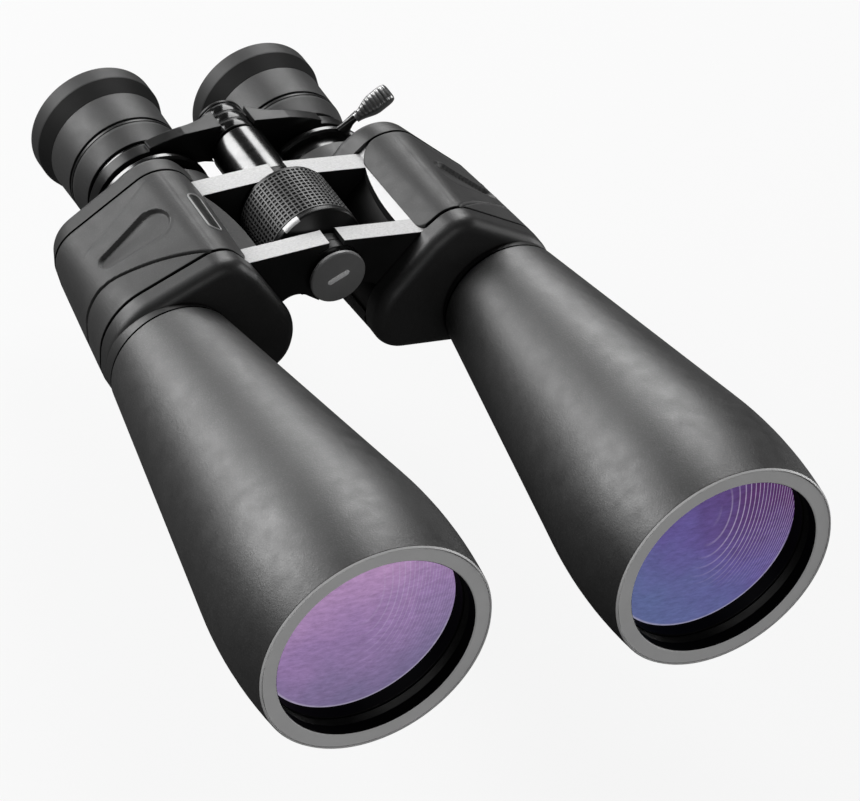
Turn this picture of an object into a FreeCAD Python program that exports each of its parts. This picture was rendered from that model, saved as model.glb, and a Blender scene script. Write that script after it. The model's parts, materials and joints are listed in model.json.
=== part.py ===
import FreeCAD, Part
import math
import os
import Sketcher

# Astronomy zoom binoculars, 70 mm objectives, in millimetres.
# Frame: +Y runs back along the main hinge axis towards the eyepieces, +Z is up and +X is to the
# user's left as they stand behind it. The origin is on the hinge axis, in the plane of the front
# face of the front hinge lug.
# Each half is drawn in its own half frame, where its two hinge lugs lie flat: x runs outward from the
# hinge axis. The half is then turned down about the hinge axis by the droop angle.

V = FreeCAD.Vector
LEFT = 1
RIGHT = -1
doc = FreeCAD.newDocument("binoculars")
sheet = doc.addObject("Spreadsheet::Sheet", "Sizes")

SIZES = [
    ("droop_angle", 4.48, "turn of each half below flat at rest"),
    ("running_gap", 0.05, "radial clearance of a turning or sliding fit"),
    ("fixed_gap", 0.02, "radial clearance of parts fastened together"),
    ("face_gap", 0.15, "axial clearance between neighbouring pieces"),
    # optical axes in the half frame
    ("objective_out", 66.1, "objective axis, outward"),
    ("objective_up", -12.4, "objective axis, up"),
    ("ocular_out", 34.1, "eyepiece axis, outward"),
    ("ocular_up", -15.4, "eyepiece axis, up"),
    # prism housing
    ("housing_length", 50.7, "front seam to rear seam"),
    ("armour_depth", 1.6, "rubber armour thickness"),
    ("casting_wall", 2.6, "wall of the cast housing"),
    ("deck_height", 12.4, "top of the lugs and the deck strip above the hinge axis"),
    ("deck_depth", 3.0, "thickness of the deck strip"),
    ("deck_out", 35.0, "buried outer edge of the deck strip"),
    ("deck_front_in", 25.0, "inner edge of the deck strip at the front lug"),
    ("deck_rear_in", 31.4, "inner edge of the deck strip at the rear lug"),
    ("front_lug", 8.0, "front lug, along the hinge"),
    ("rear_lug", 9.0, "rear lug, along the hinge"),
    ("lug_gap", 2.0, "half the gap between the lug tops"),
    ("knuckle_radius", 10.3, "hinge knuckle"),
    ("knuckle_clearance", 0.35, "air round the other half's knuckle"),
    ("washer_depth", 0.4, "friction washer between two knuckles"),
    ("plate_front", 24.0, "front face of the prism plate"),
    ("plate_depth", 2.5, "thickness of the prism plate"),
    ("ledge_depth", 1.7, "ledge the prism plate rests on"),
    ("ledge_reach", 0.7, "reach of that ledge from the wall"),
    # covers
    ("front_cover_depth", 9.2, "front cover, along the axis"),
    ("front_cover_round", 4.5, "rounded front edge"),
    ("cover_wall", 2.8, "wall of both covers"),
    ("collar_radius", 22.5, "collar that carries the objective barrel"),
    ("collar_front", 11.3, "front of the collar, ahead of the origin"),
    ("rear_cover_depth", 9.2, "rear cover, along the axis"),
    ("rear_cover_round", 2.2, "rounded rear edge"),
    ("boss_radius", 22.9, "eyepiece boss of the rear cover"),
    ("boss_rear", 66.0, "rear end of that boss"),
    # objective end
    ("objective_front", 169.0, "front face of the objective ring, ahead of the origin"),
    ("ring_radius", 40.5, "outside of the objective ring"),
    ("ring_opening", 35.1, "opening of the objective ring"),
    ("ring_depth", 4.5, "objective ring, along the axis"),
    ("lip_proud", 0.3, "barrel lip ahead of the ring"),
    ("barrel_neck", 23.5, "small end of the barrel cone"),
    ("barrel_shoulder", 40.3, "large end of the barrel cone"),
    ("barrel_belly", 42.6, "widest radius of the barrel"),
    ("barrel_lip", 41.2, "outer radius at the barrel lip"),
    ("shoulder_back", 49.5, "cone end behind the objective ring's face"),
    ("barrel_wall", 2.2, "wall of the barrel cone"),
    ("thread_radius", 19.8, "threaded neck in the front cover"),
    ("neck_bore", 17.5, "light path through the neck"),
    ("cell_radius", 38.6, "objective cell, outside"),
    ("cell_rear", 21.5, "rear of the cell behind the ring's face"),
    ("lens_radius", 36.0, "objective lens edge"),
    ("lens_aperture", 34.8, "clear opening of the cell and the retainer"),
    ("lens_recess", 13.5, "front edge of the lens behind the ring's face"),
    ("lens_edge", 5.5, "edge thickness of the objective lens"),
    ("lens_front_bulge", 3.8, "height of the front curve"),
    ("lens_rear_bulge", 1.5, "height of the rear curve"),
    ("retainer_depth", 5.0, "threaded ring that holds the lens"),
    # prisms
    ("beam_shift", 22.7, "sideways step of the light in each prism"),
    ("aperture_radius", 10.3, "openings in the prism plate"),
    ("clip_width", 5.6, "prism clip"),
    ("clip_depth", 0.6, "sheet thickness of the clip"),
    ("clip_foot", 0.5, "foot of the clip beyond the prism's end"),
    # eyepieces, distances behind the origin
    ("tube_radius", 19.3, "sliding eyepiece tube"),
    ("tube_bore", 16.6, "inside of the sliding tube"),
    ("tube_front", 53.6, "front end of the sliding tube"),
    ("tube_rear", 112.0, "rear end of the sliding tube"),
    ("zoom_ring_front", 74.5, "front face of the zoom ring"),
    ("zoom_ring_depth", 3.2, "zoom ring, along the axis"),
    ("zoom_ring_radius", 22.5, "outside of the zoom ring"),
    ("lever_width", 6.4, "paddle of the zoom lever, along the axis"),
    ("arm_front", 81.0, "front face of the bridge arms"),
    ("arm_depth", 5.0, "bridge arm, along the axis"),
    ("arm_root_depth", 9.8, "bridge arm beside the hub"),
    ("arm_top", 9.9, "top of the arm above the hinge axis"),
    ("arm_inner", 6.0, "inner end of the arm top"),
    ("arm_ring_radius", 21.2, "arm ring round the eyepiece tube"),
    ("hub_radius", 9.5, "bridge knuckles"),
    ("hub_front", 79.8, "front face of the bridge knuckles"),
    ("hub_knuckle", 4.8, "one bridge knuckle, along the axis"),
    ("spindle_cap_radius", 9.8, "cap on the end of the spindle"),
    ("spindle_cap_depth", 1.6, "that cap, along the axis"),
    ("base_ring_front", 89.6, "ring at the foot of the eyepiece"),
    ("base_ring_rear", 98.9, "its rear end"),
    ("base_ring_small", 20.2, "its front radius"),
    ("base_ring_large", 22.1, "its rear radius"),
    ("trim_depth", 1.0, "bright trim ring"),
    ("sleeve_radius", 22.3, "front end of the eyepiece sleeve"),
    ("sleeve_rear_radius", 22.65, "rear end of the sleeve and front of the eyecup"),
    ("groove_radius", 21.2, "groove between trim ring and sleeve"),
    ("sleeve_front", 101.4, "start of the full sleeve"),
    ("cup_front", 117.2, "front end of the rubber eyecup"),
    ("cup_flare_rear", 124.5, "rear end of the eyecup's flare"),
    ("cup_radius", 24.8, "widest radius of the eyecup"),
    ("cup_rear", 132.0, "rear end of the eyecup"),
    ("cup_bore", 20.6, "inside of the eyecup"),
    ("eye_cell_radius", 17.6, "eye lens cell"),
    ("eye_cell_front", 113.3, "its front end"),
    ("eye_cell_rear", 125.5, "its rear end"),
    ("eye_lens_radius", 13.0, "eye lens"),
    ("carriage_front", 92.0, "front end of the zoom lens carriage"),
    ("carriage_depth", 8.0, "zoom lens carriage, along the axis"),
    # centre line
    ("pin_radius", 6.35, "front hinge pin"),
    ("pin_stub_rear", 12.3, "rear end of the stub"),
    ("socket_radius", 3.175, "quarter inch tripod thread"),
    ("socket_depth", 10.0, "end of that thread behind the origin"),
    ("socket_collar", 5.6, "collar round the mouth of the tripod thread"),
    ("collar_proud", 2.4, "that collar, ahead of the origin"),
    ("hinge_tube_radius", 10.3, "tube behind the rear lug"),
    ("hinge_tube_rear", 78.0, "its rear end"),
    ("journal_radius", 7.5, "its journal through the rear knuckles"),
    ("spindle_radius", 5.0, "focus spindle, and the pin's stub that the wheel turns on"),
    ("spindle_front", 14.6, "front end of the spindle"),
    ("wheel_front", 9.2, "front face of the focus wheel"),
    ("grip_front", 15.1, "front end of the wheel's grip"),
    ("grip_rear", 39.0, "rear end of the wheel's grip"),
    ("wheel_rear", 40.5, "rear face of the focus wheel"),
    ("grip_radius", 17.5, "outside of the grip"),
    ("drum_radius", 15.4, "drum under the grip"),
    ("tripod_cap_radius", 10.5, "cap over the tripod socket"),
    ("tripod_cap_front", 4.6, "its front face, ahead of the origin"),
    # blank plate on the right half, in the half frame
    ("nameplate_out", 39.4, "middle of the plate, outward"),
    ("nameplate_back", 24.5, "middle of the plate, behind the origin"),
    ("nameplate_up", 19.92, "middle of the plate, up"),
    ("nameplate_half", 9.6, "half its length between the centres of its round ends"),
    ("nameplate_radius", 2.2, "its round ends"),
    ("nameplate_depth", 0.6, "its thickness"),
]


class Size:
    """A number that keeps the spreadsheet formula it came from, so a feature can be bound to it."""

    def __init__(self, formula, value):
        self.formula = formula
        self.value = value

    def _joined(self, sign, other, value):
        return Size("(%s %s %s)" % (self.formula, sign, as_size(other).formula), value)

    def __add__(self, other):
        return self._joined("+", other, self.value + as_size(other).value)

    def __sub__(self, other):
        return self._joined("-", other, self.value - as_size(other).value)

    def __mul__(self, other):
        return self._joined("*", other, self.value * as_size(other).value)

    def __truediv__(self, other):
        return self._joined("/", other, self.value / as_size(other).value)

    def __neg__(self):
        return Size("(-1 * %s)" % self.formula, -self.value)


def as_size(number):
    if isinstance(number, Size):
        return number
    return Size("%.6g" % number, float(number))


def as_number(size):
    return size.value


def fill_sheet():
    """Write the driving dimensions into the sheet and return them by name."""
    named = {}
    for row, (alias, value, meaning) in enumerate(SIZES, start=1):
        sheet.set("A%d" % row, alias)
        sheet.set("B%d" % row, str(value))
        sheet.set("C%d" % row, meaning)
        sheet.setAlias("B%d" % row, alias)
        named[alias] = Size("Sizes.%s" % alias, float(value))
    doc.recompute()
    return named


D = fill_sheet()
ZERO = as_size(0)
ONE = as_size(1)


# ---------------------------------------------------------------- sketch helpers

PIECES = []


def new_body(label, own_piece=True):
    body = doc.addObject("PartDesign::Body", label)
    body.Label = label
    if own_piece:
        PIECES.append(body)
    return body


def new_sketch(body, plane_role, offset=ZERO):
    """A sketch on one of the body's own planes, moved along that plane's normal."""
    plane = [f for f in body.Origin.OriginFeatures if f.Role == plane_role][0]
    sketch = body.newObject("Sketcher::SketchObject", body.Label + "_sketch")
    sketch.AttachmentSupport = [(plane, "")]
    sketch.MapMode = "FlatFace"
    sketch.AttachmentOffset = FreeCAD.Placement(V(0, 0, offset.value), FreeCAD.Rotation())
    sketch.setExpression(".AttachmentOffset.Base.z", offset.formula)
    return sketch


def across(body, y):
    """A sketch square to the hinge axis at distance y behind the origin; it draws x and z."""
    return new_sketch(body, "XZ_Plane", -as_size(y))


def bind(sketch, index, size):
    sketch.setExpression("Constraints[%d]" % index, size.formula)


def fix_point(sketch, geometry, end, x, y):
    """Hold one end point of a piece of geometry at x, y from the sketch origin."""
    for kind, size in (("DistanceX", as_size(x)), ("DistanceY", as_size(y))):
        index = sketch.addConstraint(Sketcher.Constraint(kind, -1, 1, geometry, end, size.value))
        bind(sketch, index, size)


def add_arc(sketch, start, middle, end):
    """Add the arc through three points. Returns the geometry and which of its ends is the start."""
    curve = Part.Arc(start, middle, end).toShape().Curve
    centre = curve.Center
    turns_left = (middle - start).cross(end - middle).z > 0
    first, last = (start, end) if turns_left else (end, start)
    from_angle = math.atan2(first.y - centre.y, first.x - centre.x)
    to_angle = math.atan2(last.y - centre.y, last.x - centre.x)
    if to_angle < from_angle:
        to_angle += 2 * math.pi
    whole = Part.Circle(centre, V(0, 0, 1), curve.Radius)
    geometry = sketch.addGeometry(Part.ArcOfCircle(whole, from_angle, to_angle), False)
    return geometry, 1 if turns_left else 2


def bulge_point(start, end, bulge):
    """The middle of an arc whose middle stands bulge to the left of its chord."""
    chord = end - start
    return (start + end) * 0.5 + V(-chord.y, chord.x, 0).normalize() * bulge


def hold_bulge(sketch, geometry, start, end):
    """Hold an arc's bulge through the coordinate of its centre that lies across the chord."""
    centre = sketch.Geometry[geometry].Center
    if abs(end.x - start.x) < abs(end.y - start.y):
        sketch.addConstraint(Sketcher.Constraint("DistanceX", -1, 1, geometry, 3, centre.x))
    else:
        sketch.addConstraint(Sketcher.Constraint("DistanceY", -1, 1, geometry, 3, centre.y))


def outline(sketch, points):
    """A closed outline of lines and arcs. A point is (x, y) or (x, y, bulge): bulge is how far the
    stretch that leaves the point stands to the left of its chord."""
    count = len(points)
    for i, point in enumerate(points):
        following = points[(i + 1) % count]
        start = V(as_size(point[0]).value, as_size(point[1]).value, 0)
        end = V(as_size(following[0]).value, as_size(following[1]).value, 0)
        if len(point) == 3:
            geometry, begin = add_arc(sketch, start, bulge_point(start, end, point[2]), end)
            fix_point(sketch, geometry, begin, point[0], point[1])
            fix_point(sketch, geometry, 3 - begin, following[0], following[1])
            hold_bulge(sketch, geometry, start, end)
        else:
            geometry = sketch.addGeometry(Part.LineSegment(start, end), False)
            fix_point(sketch, geometry, 1, point[0], point[1])
            fix_point(sketch, geometry, 2, following[0], following[1])


def circle(sketch, x, y, radius):
    x, y, radius = as_size(x), as_size(y), as_size(radius)
    geometry = sketch.addGeometry(Part.Circle(V(x.value, y.value, 0), V(0, 0, 1), radius.value), False)
    fix_point(sketch, geometry, 3, x, y)
    bind(sketch, sketch.addConstraint(Sketcher.Constraint("Radius", geometry, radius.value)), radius)


def rounded_outline(sketch, corners, inset, side):
    """A polygon with rounded corners, every side moved in by inset. A corner is (x, z, radius)."""
    inset = as_size(inset)
    points = [V(side * x, z, 0) for x, z, _ in corners]
    radii = [radius - inset.value for _, _, radius in corners]
    count = len(points)
    ways = [(points[(i + 1) % count] - points[i]).normalize() for i in range(count)]
    inward = [V(way.y, -way.x, 0) * side for way in ways]
    starts, ends, centres = [], [], []
    for i in range(count):
        before = inward[i - 1]
        after = inward[i]
        share = (inset.value + radii[i]) / (1 + before.dot(after))
        centre = points[i] + (before + after) * share
        centres.append(centre)
        starts.append(centre - before * radii[i])
        ends.append(centre - after * radii[i])
    lines, arcs = [], []
    for i in range(count):
        lines.append(sketch.addGeometry(Part.LineSegment(ends[i], starts[(i + 1) % count]), False))
    for i in range(count):
        middle = centres[i] - (inward[i - 1] + inward[i]).normalize() * radii[i]
        arcs.append(add_arc(sketch, starts[i], middle, ends[i]))
    for i in range(count):
        arc, begin = arcs[i]
        sketch.addConstraint(Sketcher.Constraint("Tangent", lines[i - 1], 2, arc, begin))
        sketch.addConstraint(Sketcher.Constraint("Tangent", arc, 3 - begin, lines[i], 1))
        index = sketch.addConstraint(Sketcher.Constraint("Radius", arc, radii[i]))
        bind(sketch, index, as_size(corners[i][2]) - inset)
        corner = sketch.addGeometry(Part.Point(points[i]), True)
        fix_point(sketch, corner, 1, side * corners[i][0], corners[i][1])
        for line in (lines[i - 1], lines[i]):
            if inset.value > 0:
                index = sketch.addConstraint(
                    Sketcher.Constraint("Distance", corner, 1, line, inset.value))
                bind(sketch, index, inset)
            else:
                sketch.addConstraint(Sketcher.Constraint("PointOnObject", corner, 1, line))


# ---------------------------------------------------------------- feature helpers

def feature(body, kind, **settings):
    made = body.newObject("PartDesign::" + kind, body.Label + "_" + kind.lower())
    for name, value in settings.items():
        if isinstance(value, Size):
            setattr(made, name, value.value)
            made.setExpression(name, value.formula)
        else:
            setattr(made, name, value)
    return made


def pad(body, sketch, length, forward=True):
    """Grow a solid from a sketch across the hinge axis, towards the objectives or the eyepieces."""
    return feature(body, "Pad", Profile=sketch, Length=as_size(length), Reversed=not forward)


def pocket(body, sketch, length, forward=True):
    return feature(body, "Pocket", Profile=sketch, Length=as_size(length), Reversed=forward)


def lathe(label, profile, place, own_piece=True):
    """A turned piece. The profile is a closed outline of (radius, distance behind the origin)."""
    body = new_body(label, own_piece)
    sketch = new_sketch(body, "XY_Plane")
    outline(sketch, profile)
    feature(body, "Revolution", Profile=sketch, ReferenceAxis=(sketch, ["V_Axis"]), Angle=360)
    body.Placement = place
    return body


def loft(body, kind, sections):
    return feature(body, kind, Profile=sections[0], Sections=sections[1:], Ruled=True)


def half_place(side, out=ZERO, up=ZERO):
    """Place of a piece whose own axis stands at out, up in the half frame of one side."""
    turn = FreeCAD.Placement(V(0, 0, 0), FreeCAD.Rotation(V(0, 1, 0), side * D["droop_angle"].value))
    shift = FreeCAD.Placement(V(side * out.value, 0, up.value), FreeCAD.Rotation())
    return turn.multiply(shift)


def named(side, label):
    return ("left_" if side == LEFT else "right_") + label


def tube(inner, outer, front, rear):
    return [(inner, front), (outer, front), (outer, rear), (inner, rear)]


CENTRE = FreeCAD.Placement()
GAP = D["face_gap"]
RUN = D["running_gap"]
FIXED = D["fixed_gap"]

# ---------------------------------------------------------------- housing section

# Corners of the housing outline in the half frame, clockwise from the deck: (x, z, corner radius).
FRONT_OUTLINE = [
    (32.6, 12.4, 8.0),
    (43.0, 23.0, 11.0),
    (88.1, 4.9, 23.0),
    (87.8, -32.2, 17.0),
    (20.5, -32.6, 13.5),
    (16.0, -13.0, 20.0),
]
REAR_OUTLINE = [
    (31.2, 12.4, 8.0),
    (42.5, 25.9, 15.0),
    (86.0, -2.4, 13.5),
    (78.4, -28.8, 14.0),
    (16.0, -33.5, 9.5),
    (16.6, -13.0, 20.0),
]
BACK_FACE_OUTLINE = [
    (29.6, 11.2, 8.0),
    (42.0, 24.4, 15.0),
    (82.6, -2.8, 13.0),
    (75.4, -27.2, 13.0),
    (16.2, -32.0, 9.5),
    (16.6, -13.0, 20.0),
]


def blend_outlines(first, second, share):
    """The outline at a share of the way from one outline to another."""
    return [tuple(a + (b - a) * share for a, b in zip(one, other))
            for one, other in zip(first, second)]


def section(body, y, corners, inset, side):
    sketch = across(body, y)
    rounded_outline(sketch, corners, inset, side)
    return sketch


def housing_sections(body, inset, side):
    return [section(body, ZERO, FRONT_OUTLINE, inset, side),
            section(body, D["housing_length"], REAR_OUTLINE, inset, side)]


LUG_ROOT = 24.0     # lugs run this far out, into the housing wall
LUG_TIP_ANGLE = 68  # the lower tip of a lug ends this far below flat, so that the halves can fold


def lug_outline(sketch, side):
    """One lug, square to the hinge: flat on top, with a hollow underneath beside the knuckle."""
    top = D["deck_height"]
    tip = math.radians(LUG_TIP_ANGLE)
    tip_radius = D["knuckle_radius"] + 2.6
    outline(sketch, [
        (D["lug_gap"] * side, top),
        (D["deck_out"] * side, top),
        (LUG_ROOT * side, -4.0),
        (21.6 * side, -9.5),
        (18.6 * side, -8.2, -1.6 * side),
        (9.2 * side, -8.7),
        (tip_radius * (math.cos(tip) * side), tip_radius * -math.sin(tip)),
        (2.6 * side, -6.0),
        (D["lug_gap"] * side, 0.0),
    ])


def disc_sketch(body, y, radius, x=ZERO, z=ZERO):
    sketch = across(body, y)
    circle(sketch, x, z, radius)
    return sketch


def prism_housing(side):
    """The cast shell of one half, with its deck strip, two lugs and two knuckles."""
    body = new_body(named(side, "prism_housing"))
    length = D["housing_length"]
    loft(body, "AdditiveLoft", housing_sections(body, D["armour_depth"], side))
    deck = new_sketch(body, "XY_Plane", D["deck_height"])
    outline(deck, [
        (D["deck_out"] * side, GAP),
        (D["deck_out"] * side, length - GAP),
        (D["deck_rear_in"] * side, length - GAP),
        (D["deck_rear_in"] * side, length - D["rear_lug"], -1.6 * side),
        (D["deck_front_in"] * side + 1.5 * side, D["front_lug"]),
        (D["deck_front_in"] * side, GAP),
    ])
    feature(body, "Pad", Profile=deck, Length=D["deck_depth"], Reversed=True)
    lugs = [(ZERO, D["front_lug"]), (length - D["rear_lug"], length - GAP)]
    for front, rear in lugs:
        lug = across(body, rear)
        lug_outline(lug, side)
        pad(body, lug, rear - front)
    # the right half carries the outer knuckles and the left half the inner ones
    for (front, rear), outer_first in zip(lugs, (True, False)):
        middle = (front + rear) / 2
        owns_front = (side == RIGHT) == outer_first
        own = (front, middle) if owns_front else (middle, rear)
        other = (middle, rear) if owns_front else (front, middle)
        washer = D["washer_depth"] / 2
        clear = disc_sketch(body, rear + 1, D["knuckle_radius"] + D["knuckle_clearance"])
        pocket(body, clear, rear - front + 2)
        start = own[0] if owns_front else own[0] + washer
        end = own[1] - washer if owns_front else own[1]
        pad(body, disc_sketch(body, end, D["knuckle_radius"]), end - start)
        knuckle_web(body, side, start, end)
    return body


def knuckle_web(body, side, start, end):
    """The web that joins a knuckle to its lug across the clearance round the other knuckle."""
    web = across(body, end)
    reach = D["knuckle_radius"] + 1.4
    outline(web, [
        (3.0 * side, 8.4),
        (reach * side, 8.4),
        (reach * side, -7.6),
        (3.0 * side, -7.6),
    ])
    pad(body, web, end - start)


def finish_housing(body, side):
    """Hollow out the casting, add the ledge for the prism plate and bore the hinge."""
    length = D["housing_length"]
    inset = D["armour_depth"] + D["casting_wall"]
    loft(body, "SubtractiveLoft", housing_sections(body, inset, side))
    share = D["plate_front"].value / length.value
    middle = blend_outlines(FRONT_OUTLINE, REAR_OUTLINE, share)
    ledge = section(body, D["plate_front"], middle, inset - 0.8, side)
    pad(body, ledge, D["ledge_depth"])
    opening = section(body, D["plate_front"] + 1, middle, inset + D["ledge_reach"], side)
    pocket(body, opening, D["ledge_depth"] + 2)
    front_bore = D["pin_radius"] + (FIXED if side == RIGHT else RUN)
    rear_bore = D["journal_radius"] + (FIXED if side == RIGHT else RUN)
    pocket(body, disc_sketch(body, D["front_lug"] + 1, front_bore), D["front_lug"] + 2)
    pocket(body, disc_sketch(body, length + 1, rear_bore), D["rear_lug"] + 2)
    body.Placement = half_place(side)


def armour(side):
    """The rubber skin round the casting; the wall that faces the hinge stays bare."""
    body = new_body(named(side, "armour"))
    loft(body, "AdditiveLoft", housing_sections(body, ZERO, side))
    loft(body, "SubtractiveLoft", housing_sections(body, D["armour_depth"] - FIXED, side))
    bare = across(body, D["housing_length"] + 1)
    outline(bare, [
        (-5 * side, D["deck_height"] + GAP),
        (45 * side, D["deck_height"] + GAP),
        (45 * side, -22.0),
        (-5 * side, -22.0),
    ])
    pocket(body, bare, D["housing_length"] + 2)
    body.Placement = half_place(side)
    return body


def front_cover(side):
    """The cover over the front prism, with the collar that carries the objective barrel."""
    body = new_body(named(side, "front_cover"))
    depth = D["front_cover_depth"]
    shell = pad(body, section(body, -GAP, FRONT_OUTLINE, ZERO, side), depth - GAP)
    doc.recompute()
    edges = edges_at(body.Shape, -depth.value)
    feature(body, "Fillet", Base=(shell, edges), Radius=D["front_cover_round"])
    x = D["objective_out"] * side
    z = D["objective_up"]
    pad(body, disc_sketch(body, -depth + 3, D["collar_radius"], x, z), D["collar_front"] - depth + 3)
    hollow = section(body, ONE, FRONT_OUTLINE, D["cover_wall"], side)
    pocket(body, hollow, depth - D["cover_wall"] + 1)
    pocket(body, disc_sketch(body, ONE, D["thread_radius"] + FIXED, x, z), D["collar_front"] + 2)
    body.Placement = half_place(side)


def rear_cover(side):
    """The cover over the rear prism, with the boss that guides the eyepiece tube."""
    body = new_body(named(side, "rear_cover"))
    seam = D["housing_length"] + GAP
    back = D["housing_length"] + D["rear_cover_depth"]
    loft(body, "AdditiveLoft", rear_cover_sections(body, seam, back, side))
    x = D["ocular_out"] * side
    z = D["ocular_up"]
    boss_start = seam + 1.3
    pad(body, disc_sketch(body, D["boss_rear"], D["boss_radius"], x, z), D["boss_rear"] - boss_start)
    wall = D["cover_wall"]
    hollow = section(body, back - wall, BACK_FACE_OUTLINE, wall + 0.8, side)
    pocket(body, hollow, back - wall - seam + 1)
    pocket(body, disc_sketch(body, D["boss_rear"] + 1, D["tube_radius"] + RUN, x, z),
           D["boss_rear"] - seam + 2)
    body.Placement = half_place(side)


def rear_cover_sections(body, seam, back, side):
    """The cover's outline at its seam and at steps round its rear edge."""
    sections = [section(body, seam, REAR_OUTLINE, ZERO, side)]
    steps = 4
    for step in range(steps + 1):
        angle = math.radians(90 * step / steps)
        inset = D["rear_cover_round"] * (1 - math.cos(angle))
        y = back - D["rear_cover_round"] * (1 - math.sin(angle))
        share = (y.value - seam.value) / (back.value - seam.value)
        corners = blend_outlines(REAR_OUTLINE, BACK_FACE_OUTLINE, share)
        sections.append(section(body, y, corners, inset, side))
    return sections


def edges_at(shape, y):
    """Names of the edges of a shape that lie wholly in the plane at y."""
    return ["Edge%d" % (i + 1) for i, edge in enumerate(shape.Edges)
            if all(abs(vertex.Point.y - y) < 1e-3 for vertex in edge.Vertexes)]


# ---------------------------------------------------------------- objective end

FRONT = -D["objective_front"]
SHOULDER_BULGE = 1.75   # how far the barrel's belly stands out of the chord from shoulder to lip


def objective_barrel(side):
    wall = D["barrel_wall"]
    cell_seat = FRONT + D["ring_depth"] + GAP
    cell_end = FRONT + D["cell_rear"] + GAP
    back = -D["collar_front"] - GAP
    lathe(named(side, "objective_barrel"), [
        (D["thread_radius"], back),
        (D["barrel_neck"] - 0.6, back),
        (D["barrel_neck"], back - 0.6),
        (D["barrel_shoulder"], FRONT + D["shoulder_back"], SHOULDER_BULGE),
        (D["barrel_lip"], FRONT + 0.5),
        (D["barrel_lip"] - 0.5, FRONT - D["lip_proud"]),
        (D["ring_radius"] + FIXED, FRONT - D["lip_proud"]),
        (D["ring_radius"] + FIXED, cell_seat),
        (D["cell_radius"] + FIXED, cell_seat),
        (D["cell_radius"] + FIXED, cell_end),
        (D["barrel_shoulder"] - wall, FRONT + D["shoulder_back"]),
        (D["barrel_neck"] - wall, back - 4),
        (D["neck_bore"], back - 4),
        (D["neck_bore"], -D["cover_wall"]),
        (D["thread_radius"], -D["cover_wall"]),
    ], half_place(side, D["objective_out"], D["objective_up"]))


def objective_ring(side):
    inner = D["ring_opening"]
    outer = D["ring_radius"]
    bevel = 0.5
    lathe(named(side, "objective_ring"), [
        (inner + bevel, FRONT),
        (outer - bevel, FRONT),
        (outer, FRONT + bevel),
        (outer, FRONT + D["ring_depth"]),
        (inner, FRONT + D["ring_depth"]),
        (inner, FRONT + bevel),
    ], half_place(side, D["objective_out"], D["objective_up"]))


def objective_cell(side):
    """The sleeve that holds the lens, with a shoulder behind it."""
    front = FRONT + D["ring_depth"] + GAP
    shoulder = FRONT + D["lens_recess"] + D["lens_edge"] + FIXED
    lathe(named(side, "objective_cell"), [
        (D["lens_radius"] + FIXED, front),
        (D["cell_radius"], front),
        (D["cell_radius"], FRONT + D["cell_rear"]),
        (D["lens_aperture"], FRONT + D["cell_rear"]),
        (D["lens_aperture"], shoulder),
        (D["lens_radius"] + FIXED, shoulder),
    ], half_place(side, D["objective_out"], D["objective_up"]))


def objective_retainer(side):
    rear = FRONT + D["lens_recess"] - FIXED
    front = rear - D["retainer_depth"]
    lathe(named(side, "objective_retainer"),
          tube(D["lens_aperture"], D["lens_radius"] - FIXED, front, rear),
          half_place(side, D["objective_out"], D["objective_up"]))


def lens_profile(radius, front, edge, front_bulge, rear_bulge):
    """A lens with two curved faces inside a flat land, as a half outline beside its axis."""
    rear = front + edge
    land = radius - 1.3
    return [
        (ZERO, front - front_bulge, -arc_sagitta(land.value, front_bulge.value)),
        (land, front),
        (radius, front),
        (radius, rear),
        (land, rear, -arc_sagitta(land.value, rear_bulge.value)),
        (ZERO, rear + rear_bulge),
    ]


def arc_sagitta(half_chord, bulge):
    """Bulge of the half arc that makes a lens face of the given height over its whole width."""
    curve = (half_chord ** 2 + bulge ** 2) / (2 * bulge)
    half = math.hypot(half_chord, bulge) / 2
    return curve - math.sqrt(curve ** 2 - half ** 2)


def objective_lens(side):
    lathe(named(side, "objective_lens"),
          lens_profile(D["lens_radius"], FRONT + D["lens_recess"], D["lens_edge"],
                       D["lens_front_bulge"], D["lens_rear_bulge"]),
          half_place(side, D["objective_out"], D["objective_up"]))


# ---------------------------------------------------------------- prisms

def prism_axes(side):
    """The objective axis, the point where the light crosses the plate and the eyepiece axis."""
    start = V(side * D["objective_out"].value, D["objective_up"].value, 0)
    end = V(side * D["ocular_out"].value, D["ocular_up"].value, 0)
    way = end - start
    up = V(-way.y, way.x, 0) * -side
    height = math.sqrt(D["beam_shift"].value ** 2 - way.Length ** 2 / 4)
    return start, (start + end) * 0.5 + up.normalize() * height, end


def slot_outline(sketch, half_length, radius, lengthwise=False):
    """A slot with round ends, centred on the sketch origin."""
    r, c = as_size(radius), as_size(half_length)
    if lengthwise:
        outline(sketch, [(r, -c), (r, c, r.value), (-r, c), (-r, -c, r.value)])
    else:
        outline(sketch, [(-c, -r), (c, -r, -r.value), (c, r), (-c, r, -r.value)])


def prism_place(side, first, second):
    """Place of a prism or clip drawn with its length along x, midway between two light axes."""
    way = second - first
    centre = (first + second) * 0.5
    turn = math.degrees(math.atan2(way.y, way.x))
    tilt = FreeCAD.Placement(V(centre.x, 0, centre.y), FreeCAD.Rotation(V(0, 1, 0), -turn))
    return half_place(side).multiply(tilt)


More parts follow.
